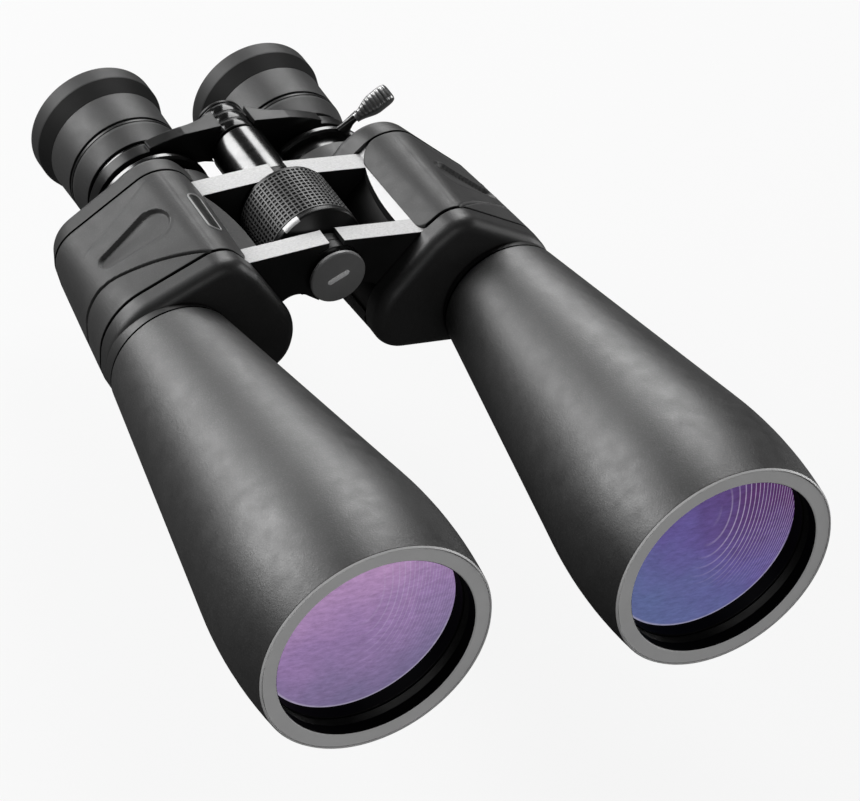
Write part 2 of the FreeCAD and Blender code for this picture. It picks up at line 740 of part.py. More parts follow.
def porro_prism(label, side, first, second, base, backward):
    """A right-angle prism with round ends: light goes in at one end of its long face and comes
    back at the other. The long face stands at base and the ridge points backward or forward."""
    body = new_body(label)
    depth = D["beam_shift"]
    stadium = across(body, base + depth if backward else base)
    slot_outline(stadium, depth / 2, depth / 2)
    pad(body, stadium, depth)
    sign = 1 if backward else -1
    ridge = base + depth * sign
    margin = 1.0
    for end in (1, -1):
        wedge = new_sketch(body, "XY_Plane", depth / -2 - margin)
        outline(wedge, [
            (0.0, ridge),
            ((depth + margin) * end, base - sign * margin),
            ((depth + margin * 3) * end, base - sign * margin),
            ((depth + margin * 3) * end, ridge + sign * margin),
            (0.0, ridge + sign * margin),
        ])
        feature(body, "Pocket", Profile=wedge, Length=depth + margin * 2, Reversed=True)
    body.Placement = prism_place(side, first, second)


def prism_clip(label, side, first, second, base, backward):
    """A sprung strap folded over the ridge of a prism, with two feet on the plate."""
    body = new_body(label)
    reach = D["beam_shift"]
    sign = 1 if backward else -1
    ridge = base + reach * sign
    skin = D["clip_depth"]
    air = 0.1
    foot = D["clip_foot"]
    clip = new_sketch(body, "XY_Plane", D["clip_width"] / -2)
    half = [
        (reach + air, base),
        (reach + foot, base),
        (reach + foot, base + skin * sign),
        (reach + air + skin / 2, base + skin * sign),
    ]
    outline(clip, [(0.0, ridge + sign * air)] + half
            + [(0.0, ridge + skin * (1.5 * sign) + sign * air)]
            + [(-x, y) for x, y in reversed(half)])
    feature(body, "Pad", Profile=clip, Length=D["clip_width"])
    body.Placement = prism_place(side, first, second)


def prisms(side):
    """Both prisms and their clips: the first stands behind the plate, the second before it."""
    start, middle, end = prism_axes(side)
    behind = D["plate_front"] + D["plate_depth"] + FIXED
    before = D["plate_front"] - FIXED
    for make, piece in ((porro_prism, "prism"), (prism_clip, "prism_clip")):
        make(named(side, "rear_" + piece), side, start, middle, behind, True)
        make(named(side, "front_" + piece), side, middle, end, before, False)


def prism_plate(side):
    """The plate between the prisms, with openings on the objective, crossing and eyepiece axes."""
    body = new_body(named(side, "prism_plate"))
    share = (D["plate_front"].value + D["plate_depth"].value) / D["housing_length"].value
    rear = D["plate_front"] + D["plate_depth"]
    edge = D["armour_depth"] + D["casting_wall"] + 0.4
    corners = blend_outlines(FRONT_OUTLINE, REAR_OUTLINE, share)
    pad(body, section(body, rear, corners, edge, side), D["plate_depth"] - GAP / 3)
    for point in prism_axes(side):
        hole = disc_sketch(body, rear + 1, D["aperture_radius"], as_size(point.x), as_size(point.y))
        pocket(body, hole, D["plate_depth"] + 2)
    body.Placement = half_place(side)


# ---------------------------------------------------------------- eyepieces

def at_eyepiece(side):
    return half_place(side, D["ocular_out"], D["ocular_up"])


def ocular_tube(side):
    lathe(named(side, "ocular_tube"),
          tube(D["tube_bore"], D["tube_radius"], D["tube_front"], D["tube_rear"]), at_eyepiece(side))


def zoom_ring(side):
    """The ring that turns on the tube to change the magnification."""
    front = D["zoom_ring_front"]
    rear = front + D["zoom_ring_depth"]
    outer = D["zoom_ring_radius"]
    lathe(named(side, "zoom_ring"), [
        (D["tube_radius"] + RUN, front),
        (outer - 0.8, front),
        (outer, front + 0.8),
        (outer, rear - 0.8),
        (outer - 0.8, rear),
        (D["tube_radius"] + RUN, rear),
    ], at_eyepiece(side))


def zoom_lever():
    """The lever on the left zoom ring: a curved stem and a thick paddle with rounded end."""
    body = new_body("zoom_lever")
    rear = D["zoom_ring_front"] + D["zoom_ring_depth"]
    stem = across(body, rear - GAP)
    outline(stem, [
        (4.2, 22.6),
        (5.6, 25.6, -0.5),
        (9.4, 29.8),
        (12.8, 26.6, 0.6),
        (9.8, 23.4),
        (9.4, 21.1, 0.25),
    ])
    pad(body, stem, D["zoom_ring_depth"] - GAP * 2)
    paddle = across(body, rear)
    outline(paddle, [
        (8.2, 28.6),
        (18.6, 38.2, -1.9),
        (23.6, 34.6),
        (12.4, 24.4, -0.5),
    ])
    pad(body, paddle, D["lever_width"])
    body.Placement = at_eyepiece(LEFT)


def base_ring(side):
    """The tapered ring at the foot of the eyepiece."""
    lathe(named(side, "base_ring"), [
        (D["tube_radius"] + RUN, D["base_ring_front"]),
        (D["base_ring_small"], D["base_ring_front"]),
        (D["base_ring_large"], D["base_ring_rear"] - 1.2),
        (D["base_ring_large"], D["base_ring_rear"]),
        (D["tube_radius"] + RUN, D["base_ring_rear"]),
    ], at_eyepiece(side))


def trim_ring(side):
    front = D["base_ring_rear"] + GAP
    lathe(named(side, "trim_ring"),
          tube(D["tube_radius"] + RUN, D["sleeve_radius"], front, front + D["trim_depth"]),
          at_eyepiece(side))


def ocular_sleeve(side):
    """The eyepiece barrel that the eyecup is pushed over."""
    front = D["base_ring_rear"] + D["trim_depth"] + GAP * 2
    lathe(named(side, "ocular_sleeve"), [
        (D["tube_radius"] + RUN, front),
        (D["groove_radius"], front),
        (D["groove_radius"], D["sleeve_front"]),
        (D["sleeve_radius"], D["sleeve_front"]),
        (D["sleeve_rear_radius"], D["cup_front"]),
        (D["cup_bore"], D["cup_front"]),
        (D["cup_bore"], D["eye_cell_rear"] - 1),
        (D["eye_cell_radius"] + RUN, D["eye_cell_rear"] - 1),
        (D["eye_cell_radius"] + RUN, D["tube_rear"] + GAP),
        (D["tube_radius"] + RUN, D["tube_rear"] + GAP),
    ], at_eyepiece(side))


def eyecup(side):
    """The rubber cup, widest just behind its flared front end, with a rounded rear lip."""
    front = D["cup_front"] + GAP
    bore = D["cup_bore"] + FIXED
    lip = as_size(0.9)
    lathe(named(side, "eyecup"), [
        (bore, front),
        (D["sleeve_rear_radius"], front),
        (D["cup_radius"] - 0.2, D["cup_flare_rear"]),
        (D["cup_radius"], D["cup_flare_rear"] + 0.6),
        (D["cup_radius"], D["cup_rear"] - lip, -0.26),
        (D["cup_radius"] - lip, D["cup_rear"]),
        (bore + 1.6, D["cup_rear"]),
        (bore, D["cup_rear"] - 2),
    ], at_eyepiece(side))


def eye_lens_cell(side):
    """The keyed cell that carries the eye lens."""
    lens_seat = D["eye_cell_rear"] - 6
    lathe(named(side, "eye_lens_cell"), [
        (D["eye_lens_radius"] - 1, D["eye_cell_front"]),
        (D["eye_cell_radius"], D["eye_cell_front"]),
        (D["eye_cell_radius"], D["eye_cell_rear"]),
        (D["eye_lens_radius"] + 2, D["eye_cell_rear"]),
        (D["eye_lens_radius"] + FIXED, D["eye_cell_rear"] - 2.5),
        (D["eye_lens_radius"] + FIXED, lens_seat),
        (D["eye_lens_radius"] - 1, lens_seat),
    ], at_eyepiece(side))


def eye_lens(side):
    lathe(named(side, "eye_lens"),
          lens_profile(D["eye_lens_radius"], D["eye_cell_rear"] - 6 + FIXED + 1, as_size(2.4), ONE,
                       as_size(1.2)), at_eyepiece(side))


def zoom_carriage(side):
    """The cell of the moving lens group, pushed along the tube by the zoom ring."""
    front = D["carriage_front"]
    rear = front + D["carriage_depth"]
    lathe(named(side, "zoom_carriage"),
          tube(D["tube_bore"] - 6, D["tube_bore"] - RUN, front, rear), at_eyepiece(side))


def zoom_lens(side):
    middle = D["carriage_front"] + D["carriage_depth"] / 2 - 1.5
    lathe(named(side, "zoom_lens"),
          lens_profile(D["tube_bore"] - 6 - FIXED, middle, as_size(3), as_size(0.9), as_size(0.9)),
          at_eyepiece(side))


# ---------------------------------------------------------------- bridge

def arm_plan(sketch, side):
    """The arm from above: deep beside the hub, drawn in to the thickness of its ring."""
    front = D["arm_front"]
    outline(sketch, [
        (D["arm_inner"] * side, front),
        (D["ocular_out"] * side, front),
        (D["ocular_out"] * side, front + D["arm_depth"]),
        (D["ocular_out"] * side - 14 * side, front + D["arm_depth"], 1.0 * side),
        (D["arm_inner"] * side, front + D["arm_root_depth"]),
    ])


def bridge_arm(side):
    """One arm of the focusing bridge: a ring round its eyepiece tube and its hub knuckles."""
    body = new_body(named(side, "bridge_arm"))
    front = D["arm_front"]
    x = D["ocular_out"] * side
    z = D["ocular_up"]
    plan = new_sketch(body, "XY_Plane", D["arm_top"])
    arm_plan(plan, side)
    feature(body, "Pad", Profile=plan, Length=D["arm_top"] * 2, Reversed=True)
    past = front + D["arm_root_depth"] + 5
    through = D["arm_root_depth"] + 10
    trim = across(body, past)
    outline(trim, [
        (0.0, D["arm_top"] + 2),
        (20 * side, D["arm_top"] + 2),
        (60 * side, D["arm_top"] + 2),
        (60 * side, -5.0),
        (44.5 * side, 3.0, -1.2 * side),
        (20 * side, D["arm_top"] + 0.02),
        (0.0, D["arm_top"] + 0.02),
    ])
    pocket(body, trim, through)
    under = across(body, past)
    outline(under, [
        (2.0 * side, -7.4),
        (12.0 * side, -4.4, 1.0 * side),
        (24.0 * side, -6.5),
        (36.0 * side, -14.0),
        (36.0 * side, -14.0 - D["arm_top"].value),
        (2.0 * side, -14.0 - D["arm_top"].value),
    ])
    pocket(body, under, through)
    ring = disc_sketch(body, front + D["arm_depth"], D["arm_ring_radius"], x, z)
    pad(body, ring, D["arm_depth"])
    clear = disc_sketch(body, past, D["hub_radius"] + D["knuckle_clearance"])
    pocket(body, clear, through)
    step = D["hub_knuckle"] + GAP
    order = (0, 2) if side == RIGHT else (1,)
    for place in order:
        start = D["hub_front"] + step * place
        end = start + D["hub_knuckle"]
        pad(body, disc_sketch(body, end, D["hub_radius"]), D["hub_knuckle"])
        web_rear = min(end, front + D["arm_root_depth"], key=as_number)
        web = across(body, web_rear)
        outline(web, [(4 * side, 6.5), (13 * side, 6.5), (13 * side, -4.0), (4 * side, -4.0)])
        pad(body, web, web_rear - max(start, front, key=as_number))
    bore = D["spindle_radius"] + (FIXED if side == RIGHT else RUN)
    pocket(body, disc_sketch(body, past, bore), through)
    pocket(body, disc_sketch(body, past, D["tube_radius"] + FIXED, x, z), through)
    body.Placement = half_place(side)


# ---------------------------------------------------------------- centre line

def hinge_pin():
    """The front hinge pin: a collar with the tripod thread in front, a stub for the wheel behind."""
    lug = D["front_lug"]
    lathe("hinge_pin", [
        (D["socket_radius"], -D["collar_proud"]),
        (D["socket_collar"], -D["collar_proud"]),
        (D["socket_collar"], ZERO),
        (D["pin_radius"], ZERO),
        (D["pin_radius"], lug + 0.3),
        (D["spindle_radius"], lug + 0.3),
        (D["spindle_radius"], D["pin_stub_rear"]),
        (ZERO, D["pin_stub_rear"]),
        (ZERO, D["socket_depth"]),
        (D["socket_radius"], D["socket_depth"]),
    ], CENTRE)


def hinge_tube():
    """The tube behind the rear lug; its front journal is the rear hinge pivot."""
    shoulder = D["housing_length"] + GAP
    journal = D["housing_length"] - D["rear_lug"] - 0.4
    lathe("hinge_tube", [
        (D["spindle_radius"] + RUN, journal),
        (D["journal_radius"], journal),
        (D["journal_radius"], shoulder),
        (D["hinge_tube_radius"], shoulder),
        (D["hinge_tube_radius"], D["hinge_tube_rear"] - 0.6),
        (D["hinge_tube_radius"] - 0.6, D["hinge_tube_rear"]),
        (D["spindle_radius"] + RUN, D["hinge_tube_rear"]),
    ], CENTRE)


def hinge_washers():
    """The two friction washers between the knuckles, front and rear."""
    thickness = D["washer_depth"] - GAP
    outer = D["knuckle_radius"] - 0.4
    rear_end = D["housing_length"] - GAP
    rear_start = D["housing_length"] - D["rear_lug"]
    washers = []
    for label, middle, bore in (("front_washer", D["front_lug"] / 2, D["pin_radius"]),
                                ("rear_washer", (rear_start + rear_end) / 2, D["journal_radius"])):
        profile = tube(bore + RUN, outer, middle - thickness / 2, middle + thickness / 2)
        washers.append(lathe(label, profile, CENTRE, own_piece=False))
    pair = doc.addObject("Part::Compound", "hinge_washers")
    pair.Label = "hinge_washers"
    pair.Links = washers
    PIECES.append(pair)


def focus_wheel():
    """The drum of the focus wheel, with its bevelled front flange and rear rim."""
    front = D["wheel_front"]
    grip = D["grip_radius"]
    lathe("focus_wheel", [
        (D["spindle_radius"] + RUN, front),
        (11.0, front),
        (12.0, front + 0.3),
        (grip - 0.9, D["grip_front"] - 2.8, -0.4),
        (grip - 0.2, D["grip_front"] - 1.2),
        (grip - 0.2, D["grip_front"]),
        (D["drum_radius"], D["grip_front"]),
        (D["drum_radius"], D["grip_rear"]),
        (grip - 0.6, D["grip_rear"]),
        (grip - 0.6, D["wheel_rear"]),
        (D["spindle_radius"] + RUN, D["wheel_rear"]),
    ], CENTRE)


def focus_grip():
    lathe("focus_grip", tube(D["drum_radius"] + FIXED, D["grip_radius"], D["grip_front"] + 0.05,
                             D["grip_rear"] - 0.05), CENTRE)


def focus_spindle():
    lathe("focus_spindle", [
        (ZERO, D["spindle_front"]),
        (D["spindle_radius"] - 0.5, D["spindle_front"]),
        (D["spindle_radius"], D["spindle_front"] + 0.5),
        (D["spindle_radius"], hub_end()),
        (ZERO, hub_end()),
    ], CENTRE)


def hub_end():
    return D["hub_front"] + (D["hub_knuckle"] + GAP) * 3


def spindle_cap():
    start = hub_end() + FIXED
    lathe("spindle_cap", [
        (ZERO, start),
        (D["spindle_cap_radius"], start),
        (D["spindle_cap_radius"], start + D["spindle_cap_depth"] - 0.6),
        (D["spindle_cap_radius"] - 1.0, start + D["spindle_cap_depth"]),
        (ZERO, start + D["spindle_cap_depth"] + 0.4),
    ], CENTRE)


def tripod_cap():
    """The push-on cap over the tripod socket: a disc on a flared skirt that grips the collar."""
    disc = -D["tripod_cap_front"]
    radius = D["tripod_cap_radius"]
    grip = D["socket_collar"] + RUN
    lathe("tripod_cap", [
        (ZERO, disc),
        (radius - 0.4, disc),
        (radius, disc + 0.4),
        (radius, disc + 1.5),
        (radius - 0.6, disc + 1.9, 0.5),
        (radius - 3.2, -GAP),
        (grip, -GAP),
        (grip, -D["collar_proud"] - GAP),
        (ZERO, -D["collar_proud"] - GAP),
    ], CENTRE)


NAMEPLATE_TILT = 32    # turns of the plate to lie along the armour's curved inner edge, in degrees
NAMEPLATE_PITCH = 2
NAMEPLATE_YAW = 2


def nameplate():
    """The small oblong plate near the inner edge of the right half's armour, left blank."""
    body = new_body("nameplate")
    plate = new_sketch(body, "XY_Plane", RUN)
    slot_outline(plate, D["nameplate_half"], D["nameplate_radius"], lengthwise=True)
    feature(body, "Pad", Profile=plate, Length=D["nameplate_depth"])
    slope = (FreeCAD.Rotation(V(0, 0, 1), NAMEPLATE_YAW)
             .multiply(FreeCAD.Rotation(V(0, 1, 0), NAMEPLATE_TILT))
             .multiply(FreeCAD.Rotation(V(1, 0, 0), NAMEPLATE_PITCH)))
    seat = V(-D["nameplate_out"].value, D["nameplate_back"].value, D["nameplate_up"].value)
    body.Placement = half_place(RIGHT).multiply(FreeCAD.Placement(seat, slope))


# ---------------------------------------------------------------- build

def build_half(side):
    finish_housing(prism_housing(side), side)
    armour(side)
    for make in (front_cover, rear_cover, objective_barrel, objective_ring, objective_cell,
                 objective_retainer, objective_lens, prism_plate, prisms, ocular_tube,
                 zoom_ring, zoom_carriage, zoom_lens, base_ring, trim_ring, ocular_sleeve, eyecup,
                 eye_lens_cell, eye_lens, bridge_arm):
        make(side)


def build_centre():
    for make in (hinge_pin, hinge_tube, focus_wheel, focus_grip, focus_spindle, spindle_cap,
                 tripod_cap, zoom_lever, nameplate, hinge_washers):
        make()


def check_and_export():
    doc.recompute()
    broken = [made.Name for made in doc.Objects
              if "Invalid" in made.State or "Error" in made.State]
    broken += [piece.Label for piece in PIECES if piece.Shape.isNull() or not piece.Shape.isValid()]
    if broken:
        raise RuntimeError("failed objects: " + ", ".join(broken))
    os.makedirs("parts", exist_ok=True)
    for piece in PIECES:
        piece.Shape.exportStep(os.path.join("parts", piece.Label + ".step"))
    print(len(PIECES), "sub-parts written")


for half_side in (LEFT, RIGHT):
    build_half(half_side)
build_centre()
check_and_export()
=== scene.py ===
import json
import math

import bmesh
import bpy
import numpy as np
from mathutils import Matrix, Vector


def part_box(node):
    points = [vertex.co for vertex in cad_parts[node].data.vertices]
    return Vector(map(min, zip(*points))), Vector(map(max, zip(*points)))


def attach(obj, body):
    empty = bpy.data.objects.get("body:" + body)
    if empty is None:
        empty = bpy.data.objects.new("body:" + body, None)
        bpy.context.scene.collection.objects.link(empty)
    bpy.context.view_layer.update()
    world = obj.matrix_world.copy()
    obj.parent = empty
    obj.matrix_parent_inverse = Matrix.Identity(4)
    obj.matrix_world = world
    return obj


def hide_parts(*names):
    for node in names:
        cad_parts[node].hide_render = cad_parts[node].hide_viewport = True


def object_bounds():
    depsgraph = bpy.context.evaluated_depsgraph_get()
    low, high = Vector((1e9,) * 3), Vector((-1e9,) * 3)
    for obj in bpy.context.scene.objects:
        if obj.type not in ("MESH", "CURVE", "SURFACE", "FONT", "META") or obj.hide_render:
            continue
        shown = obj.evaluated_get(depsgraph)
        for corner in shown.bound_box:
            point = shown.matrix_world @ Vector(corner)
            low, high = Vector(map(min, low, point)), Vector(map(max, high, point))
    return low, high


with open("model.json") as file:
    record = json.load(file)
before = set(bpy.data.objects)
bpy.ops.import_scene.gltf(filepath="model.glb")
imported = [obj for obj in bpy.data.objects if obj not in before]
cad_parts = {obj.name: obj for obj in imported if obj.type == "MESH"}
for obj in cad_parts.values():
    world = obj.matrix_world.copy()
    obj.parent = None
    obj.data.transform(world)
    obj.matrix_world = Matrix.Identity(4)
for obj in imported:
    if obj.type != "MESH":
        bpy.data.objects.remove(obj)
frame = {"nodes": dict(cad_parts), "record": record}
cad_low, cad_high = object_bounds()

# Astronomy zoom binoculars dressed for the photograph's view. Sizes are in millimetres, and points
# become metres when they enter the row frame. +Y runs back to the eyepieces, +Z is up, +X is the
# user's left. Each half has a half frame, in which its hinge lugs lie flat: out from the hinge,
# back along it, up.

MM = 0.001
LEFT = 1
RIGHT = -1
SIDES = {LEFT: "left", RIGHT: "right"}
HALF = {LEFT: "left_half", RIGHT: "right_half"}
DROOP = math.radians(4.48)      # turn of each half below flat at rest

# sizes the CAD part also has
HOUSING_LENGTH = 50.7           # armour, from the front seam to the rear seam
DECK_UP = 12.4                  # top of the lugs and the deck strip
OBJECTIVE = (66.1, -12.4)       # objective axis: out, up
OCULAR = (34.1, -15.4)          # eyepiece axis: out, up
RING_FRONT = -169.0             # face of the objective ring
COLLAR_FRONT = -11.3            # end of the collar that the barrel screws into
GRIP_RADIUS = 17.5
GRIP_FRONT = 15.1
GRIP_REAR = 39.0
DRUM_RADIUS = 15.4
HUB_RADIUS = 9.5
HUB_FRONT = 79.8
HUB_STEP = 4.95                 # from one bridge knuckle to the next
CAP_FACE = -4.6                 # front face of the tripod cap

# where a look changes
CUP_FLARE = 7.3                 # length of the smoother flare at the front of the eyecup
DECK_STRIP = (8.1, 41.5)        # front and rear of the strip between the lugs
STRIP_HIGHLIGHT_GREY = {LEFT: 0.80, RIGHT: 0.006}     # near white on one half, a painted highlight of the glaring strip, and black on the other
RING_WALL = 35.25               # the objective ring is black inside this radius
RING_SEAM_SHADE = 40.15               # and, above, outside this one, a black line of painted shade in the seam
BARE_LIP = 0.35                 # bare front end of the barrel
COLLAR_SHADOW = 1.7               # painted shadow: black end of the barrel in front of the collar
CAP_NECK = -2.72                # the tripod cap is dark in front of this, bright behind


def in_row(side, out, back, up):
    """Points of a half frame, in millimetres, as points of the row frame in metres."""
    out, back, up = np.broadcast_arrays(out, back, up)
    x = out * math.cos(DROOP) + up * math.sin(DROOP)
    z = up * math.cos(DROOP) - out * math.sin(DROOP)
    return np.stack([side * x, back, z], axis=-1) * MM


def smooth(value, start, end):
    """0 at start, 1 at end, with an S-shaped rise between."""
    share = np.clip((value - start) / (end - start), 0.0, 1.0)
    return share * share * (3 - 2 * share)


def from_line(x, y, first, last):
    """Distance of points from a straight stretch, and how far along it they lie, 0 to 1."""
    dx, dy = last[0] - first[0], last[1] - first[1]
    along = np.clip(((x - first[0]) * dx + (y - first[1]) * dy) / (dx * dx + dy * dy), 0.0, 1.0)
    return np.hypot(x - first[0] - along * dx, y - first[1] - along * dy), along


# ---------------------------------------------------------------- meshes

def add_piece(name, points, faces, look, body, stands_for=(), crease=40):
    """Make one piece that rides a body, in place of the CAD nodes it stands for. Edges sharper
    than the crease angle, in degrees, stay sharp."""
    mesh = bpy.data.meshes.new(name)
    mesh.from_pydata([tuple(point) for point in np.reshape(points, (-1, 3))], [], faces)
    shell = bmesh.new()
    shell.from_mesh(mesh)
    bmesh.ops.recalc_face_normals(shell, faces=shell.faces)
    shell.to_mesh(mesh)
    shell.free()
    mesh.polygons.foreach_set("use_smooth", [True] * len(mesh.polygons))
    mesh.set_sharp_from_angle(angle=math.radians(crease))
    mesh.materials.append(look)
    piece = bpy.data.objects.new(name, mesh)
    bpy.context.scene.collection.objects.link(piece)
    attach(piece, body)
    if stands_for:
        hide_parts(*stands_for)


def grid_faces(rows, columns, close_rows=False, close_columns=False, start=0):
    """Quads over a grid of points stored row by row; closing joins the last line to the first."""
    faces = []
    for i in range(rows if close_rows else rows - 1):
        for j in range(columns if close_columns else columns - 1):
            down, right = (i + 1) % rows, (j + 1) % columns
            faces.append((start + i * columns + j, start + i * columns + right,
                          start + down * columns + right, start + down * columns + j))
    return faces


def capped_loops(loops):
    """Faces of a closed piece made of equal loops of points, with a cap on both ends."""
    count = len(loops[0])
    faces = grid_faces(len(loops), count, close_columns=True)
    faces.append(tuple(reversed(range(count))))
    last = (len(loops) - 1) * count
    faces.append(tuple(range(last, last + count)))
    return faces


def turned(profile, side, out, up, start=0.0, end=360.0, steps=144):
    """Points and faces of a closed profile of (radius, back) turned about a half-frame axis."""
    whole = end - start >= 360.0
    angles = np.radians(np.linspace(start, end, steps, endpoint=not whole))
    radius, back = np.array(profile, dtype=float).T
    across = out + radius[None, :] * np.cos(angles)[:, None]
    above = up + radius[None, :] * np.sin(angles)[:, None]
    points = in_row(side, across, back[None, :], above)
    if whole:
        return points, grid_faces(steps, len(profile), close_rows=True, close_columns=True)
    return points, capped_loops(list(points))


def arc(first, last, bulge, steps=6):
    """Points on an arc between two points; bulge is its height to the left of the chord."""
    first, last = np.array(first, dtype=float), np.array(last, dtype=float)
    chord = last - first
    half = np.hypot(*chord) / 2
    left = np.array([-chord[1], chord[0]]) / (2 * half)
    share = np.linspace(-1, 1, steps)
    radius = (half ** 2 + bulge ** 2) / (2 * bulge)
    height = np.sqrt(radius ** 2 - (share * half) ** 2) - abs(radius) + abs(bulge)
    middle = (first + last) / 2
    return [tuple(middle + chord / 2 * s + left * h * np.sign(bulge)) for s, h in zip(share, height)]


# ---------------------------------------------------------------- node helpers

class Shader:
    """A material being built from nodes, with short calls for the nodes it needs."""

    def __init__(self, name):
        self.material = bpy.data.materials.new(name)
        self.material.use_nodes = True
        self.nodes = self.material.node_tree.nodes
        self.links = self.material.node_tree.links
        self.bsdf = self.nodes["Principled BSDF"]
        self.place = self.add("ShaderNodeTexCoord").outputs["Object"]

    def add(self, kind, **settings):
        """A new node with its settings."""
        node = self.nodes.new(kind)
        for name, value in settings.items():
            setattr(node, name, value)
        return node

    def feed(self, socket, value):
        """Give a socket a constant or another node's output."""
        if isinstance(value, bpy.types.NodeSocket):
            self.links.new(value, socket)
        else:
            socket.default_value = value

    def math(self, operation, *values):
        """A sum, product or other function of constants and outputs."""
        node = self.add("ShaderNodeMath", operation=operation)
        for socket, value in zip(node.inputs, values):
            self.feed(socket, value)
        return node.outputs[0]

    def vector(self, operation, *values):
        """The same for vectors."""
        node = self.add("ShaderNodeVectorMath", operation=operation)
        for socket, value in zip(node.inputs, values):
            self.feed(socket, value)
        return node.outputs["Value" if operation in ("DOT_PRODUCT", "LENGTH") else "Vector"]

    def along(self, way, place=None):
        """How far a point lies along a direction, in metres."""
        return self.vector("DOT_PRODUCT", place or self.place, way)

    def back(self):
        """How far back a point lies along the hinge, in metres."""
        return self.along((0, 1, 0))

    def from_axis(self, node):
        """Distance from the axis of a turned CAD node, in metres."""
        low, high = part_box(node)
        middle = (low + high) / 2
        shifted = self.vector("SUBTRACT", self.place, tuple(middle))
        return self.vector("LENGTH", self.vector("MULTIPLY", shifted, (1.0, 0.0, 1.0)))

    def noise(self, per_metre, detail=3.0, roughness=0.55, stretch=None):
        """Cloudy noise of about so many blotches to the metre."""
        node = self.add("ShaderNodeTexNoise")
        place = self.vector("MULTIPLY", self.place, stretch) if stretch else self.place
        self.feed(node.inputs["Vector"], place)
        node.inputs["Scale"].default_value = per_metre
        node.inputs["Detail"].default_value = detail
        node.inputs["Roughness"].default_value = roughness
        return node.outputs["Fac"]

    def ranged(self, value, low, high, to_low, to_high):
        """Values from low to high, spread over a new range and cut off at its ends."""
        node = self.add("ShaderNodeMapRange")
        self.feed(node.inputs["Value"], value)
        for name, number in (("From Min", low), ("From Max", high),
                             ("To Min", to_low), ("To Max", to_high)):
            self.feed(node.inputs[name], number)
        return node.outputs[0]

    def rising(self, value, low, high):
        """0 up to low, 1 from high on."""
        return self.ranged(value, low, high, 0.0, 1.0)

    def falling(self, value, low, high):
        """1 up to low, 0 from high on."""
        return self.ranged(value, low, high, 1.0, 0.0)

    def patches(self, per_metre, detail=4.0):
        """Soft patches from 0 to 1."""
        return self.rising(self.noise(per_metre, detail), 0.3, 0.7)

    def past(self, value, limit):
        """1 where a value is more than the limit, 0 elsewhere."""
        return self.math("GREATER_THAN", value, limit)

    def short_of(self, value, limit):
        """1 where a value is less than the limit, 0 elsewhere."""
        return self.math("LESS_THAN", value, limit)

    def mix(self, share, first, second):
        """One colour at share 0, the other at share 1."""
        node = self.add("ShaderNodeMix", data_type="RGBA")
        self.feed(node.inputs["Factor"], share)
        self.feed(node.inputs[6], first)
        self.feed(node.inputs[7], second)
        return node.outputs[2]

    def shade_openness(self, reach):
        """1 on open faces, falling to 0 in grooves and seams narrower than the reach; it masks painted
        shade.
        """
        node = self.add("ShaderNodeAmbientOcclusion", samples=8)
        node.inputs["Distance"].default_value = reach
        return self.rising(node.outputs["AO"], 0.35, 0.85)

    def bump(self, height, depth, rounding=0.0):
        """Relief of a depth from a height of 0 to 1, over edges rounded to a radius."""
        node = self.add("ShaderNodeBump")
        self.feed(node.inputs["Height"], height)
        node.inputs["Strength"].default_value = 1.0
        node.inputs["Distance"].default_value = depth
        if rounding:
            bevel = self.add("ShaderNodeBevel", samples=4)
            bevel.inputs["Radius"].default_value = rounding
            self.feed(node.inputs["Normal"], bevel.outputs[0])
        self.feed(self.bsdf.inputs["Normal"], node.outputs[0])

    def set(self, **values):
        """Set inputs of the surface by name, with _ for a space."""
        for name, value in values.items():
            self.feed(self.bsdf.inputs[name.replace("_", " ")], value)


def grey(level):
    return (level, level, level, 1.0)


# ---------------------------------------------------------------- materials

def grained(name, level, roughness, grain_per_mm, grain_depth, mottle=0.12, shade_reach=0.0,
            rounding=0.0, metallic=0.0, specular=0.5, ends=None):
    """Moulded or painted stuff: a grey with slow mottling and fine grain. Painted shade makes it darker and
    less shiny in its grooves, which are narrower than the given reach, and outside its ends, where two parts
    meet."""
    s = Shader(name)
    fine = s.noise(grain_per_mm / MM, 3.0, 0.6)
    shade = s.mix(s.patches(45.0), grey(level * (1 - mottle)), grey(level * (1 + mottle)))
    shade = s.mix(s.ranged(fine, 0.52, 0.74, 0.0, 0.45), shade, grey(level * 2.0))
    shine = specular
    # painted shade: the colour darkens and the shine falls in grooves and seams, and outside the ends
    if shade_reach:
        clear = s.shade_openness(shade_reach)
        if ends:
            front, rear = ends
            blur = 0.2 * MM
            inside = s.math("MULTIPLY", s.rising(s.back(), front, front + blur),
                            s.falling(s.back(), rear - blur, rear))
            clear = s.math("MULTIPLY", clear, inside)
        shade = s.mix(clear, grey(level * 0.08), shade)
        shine = s.ranged(clear, 0.0, 1.0, specular * 0.1, specular)
    s.set(Base_Color=shade, Metallic=metallic, Specular_IOR_Level=shine,
          Roughness=s.ranged(s.noise(160.0, 5.0), 0.3, 0.7, roughness - 0.05, roughness + 0.05))
    s.bump(fine, grain_depth * MM, rounding)
    return s.material


def turned_metal(name, level, roughness):
    """Metal turned on a lathe: fine rings across the axis, streaked roughness."""
    s = Shader(name)
    rings = s.noise(900.0, 3.0, 0.6, stretch=(0.05, 6.0, 0.05))
    blotch = s.rising(s.noise(120.0, 4.0), 0.35, 0.65)
    s.set(Base_Color=s.mix(blotch, grey(level * 0.8), grey(level)), Metallic=1.0,
          Roughness=s.ranged(rings, 0.3, 0.7, roughness * 0.75, roughness * 1.25))
    s.bump(rings, 0.004 * MM, 0.25 * MM)
    return s.material


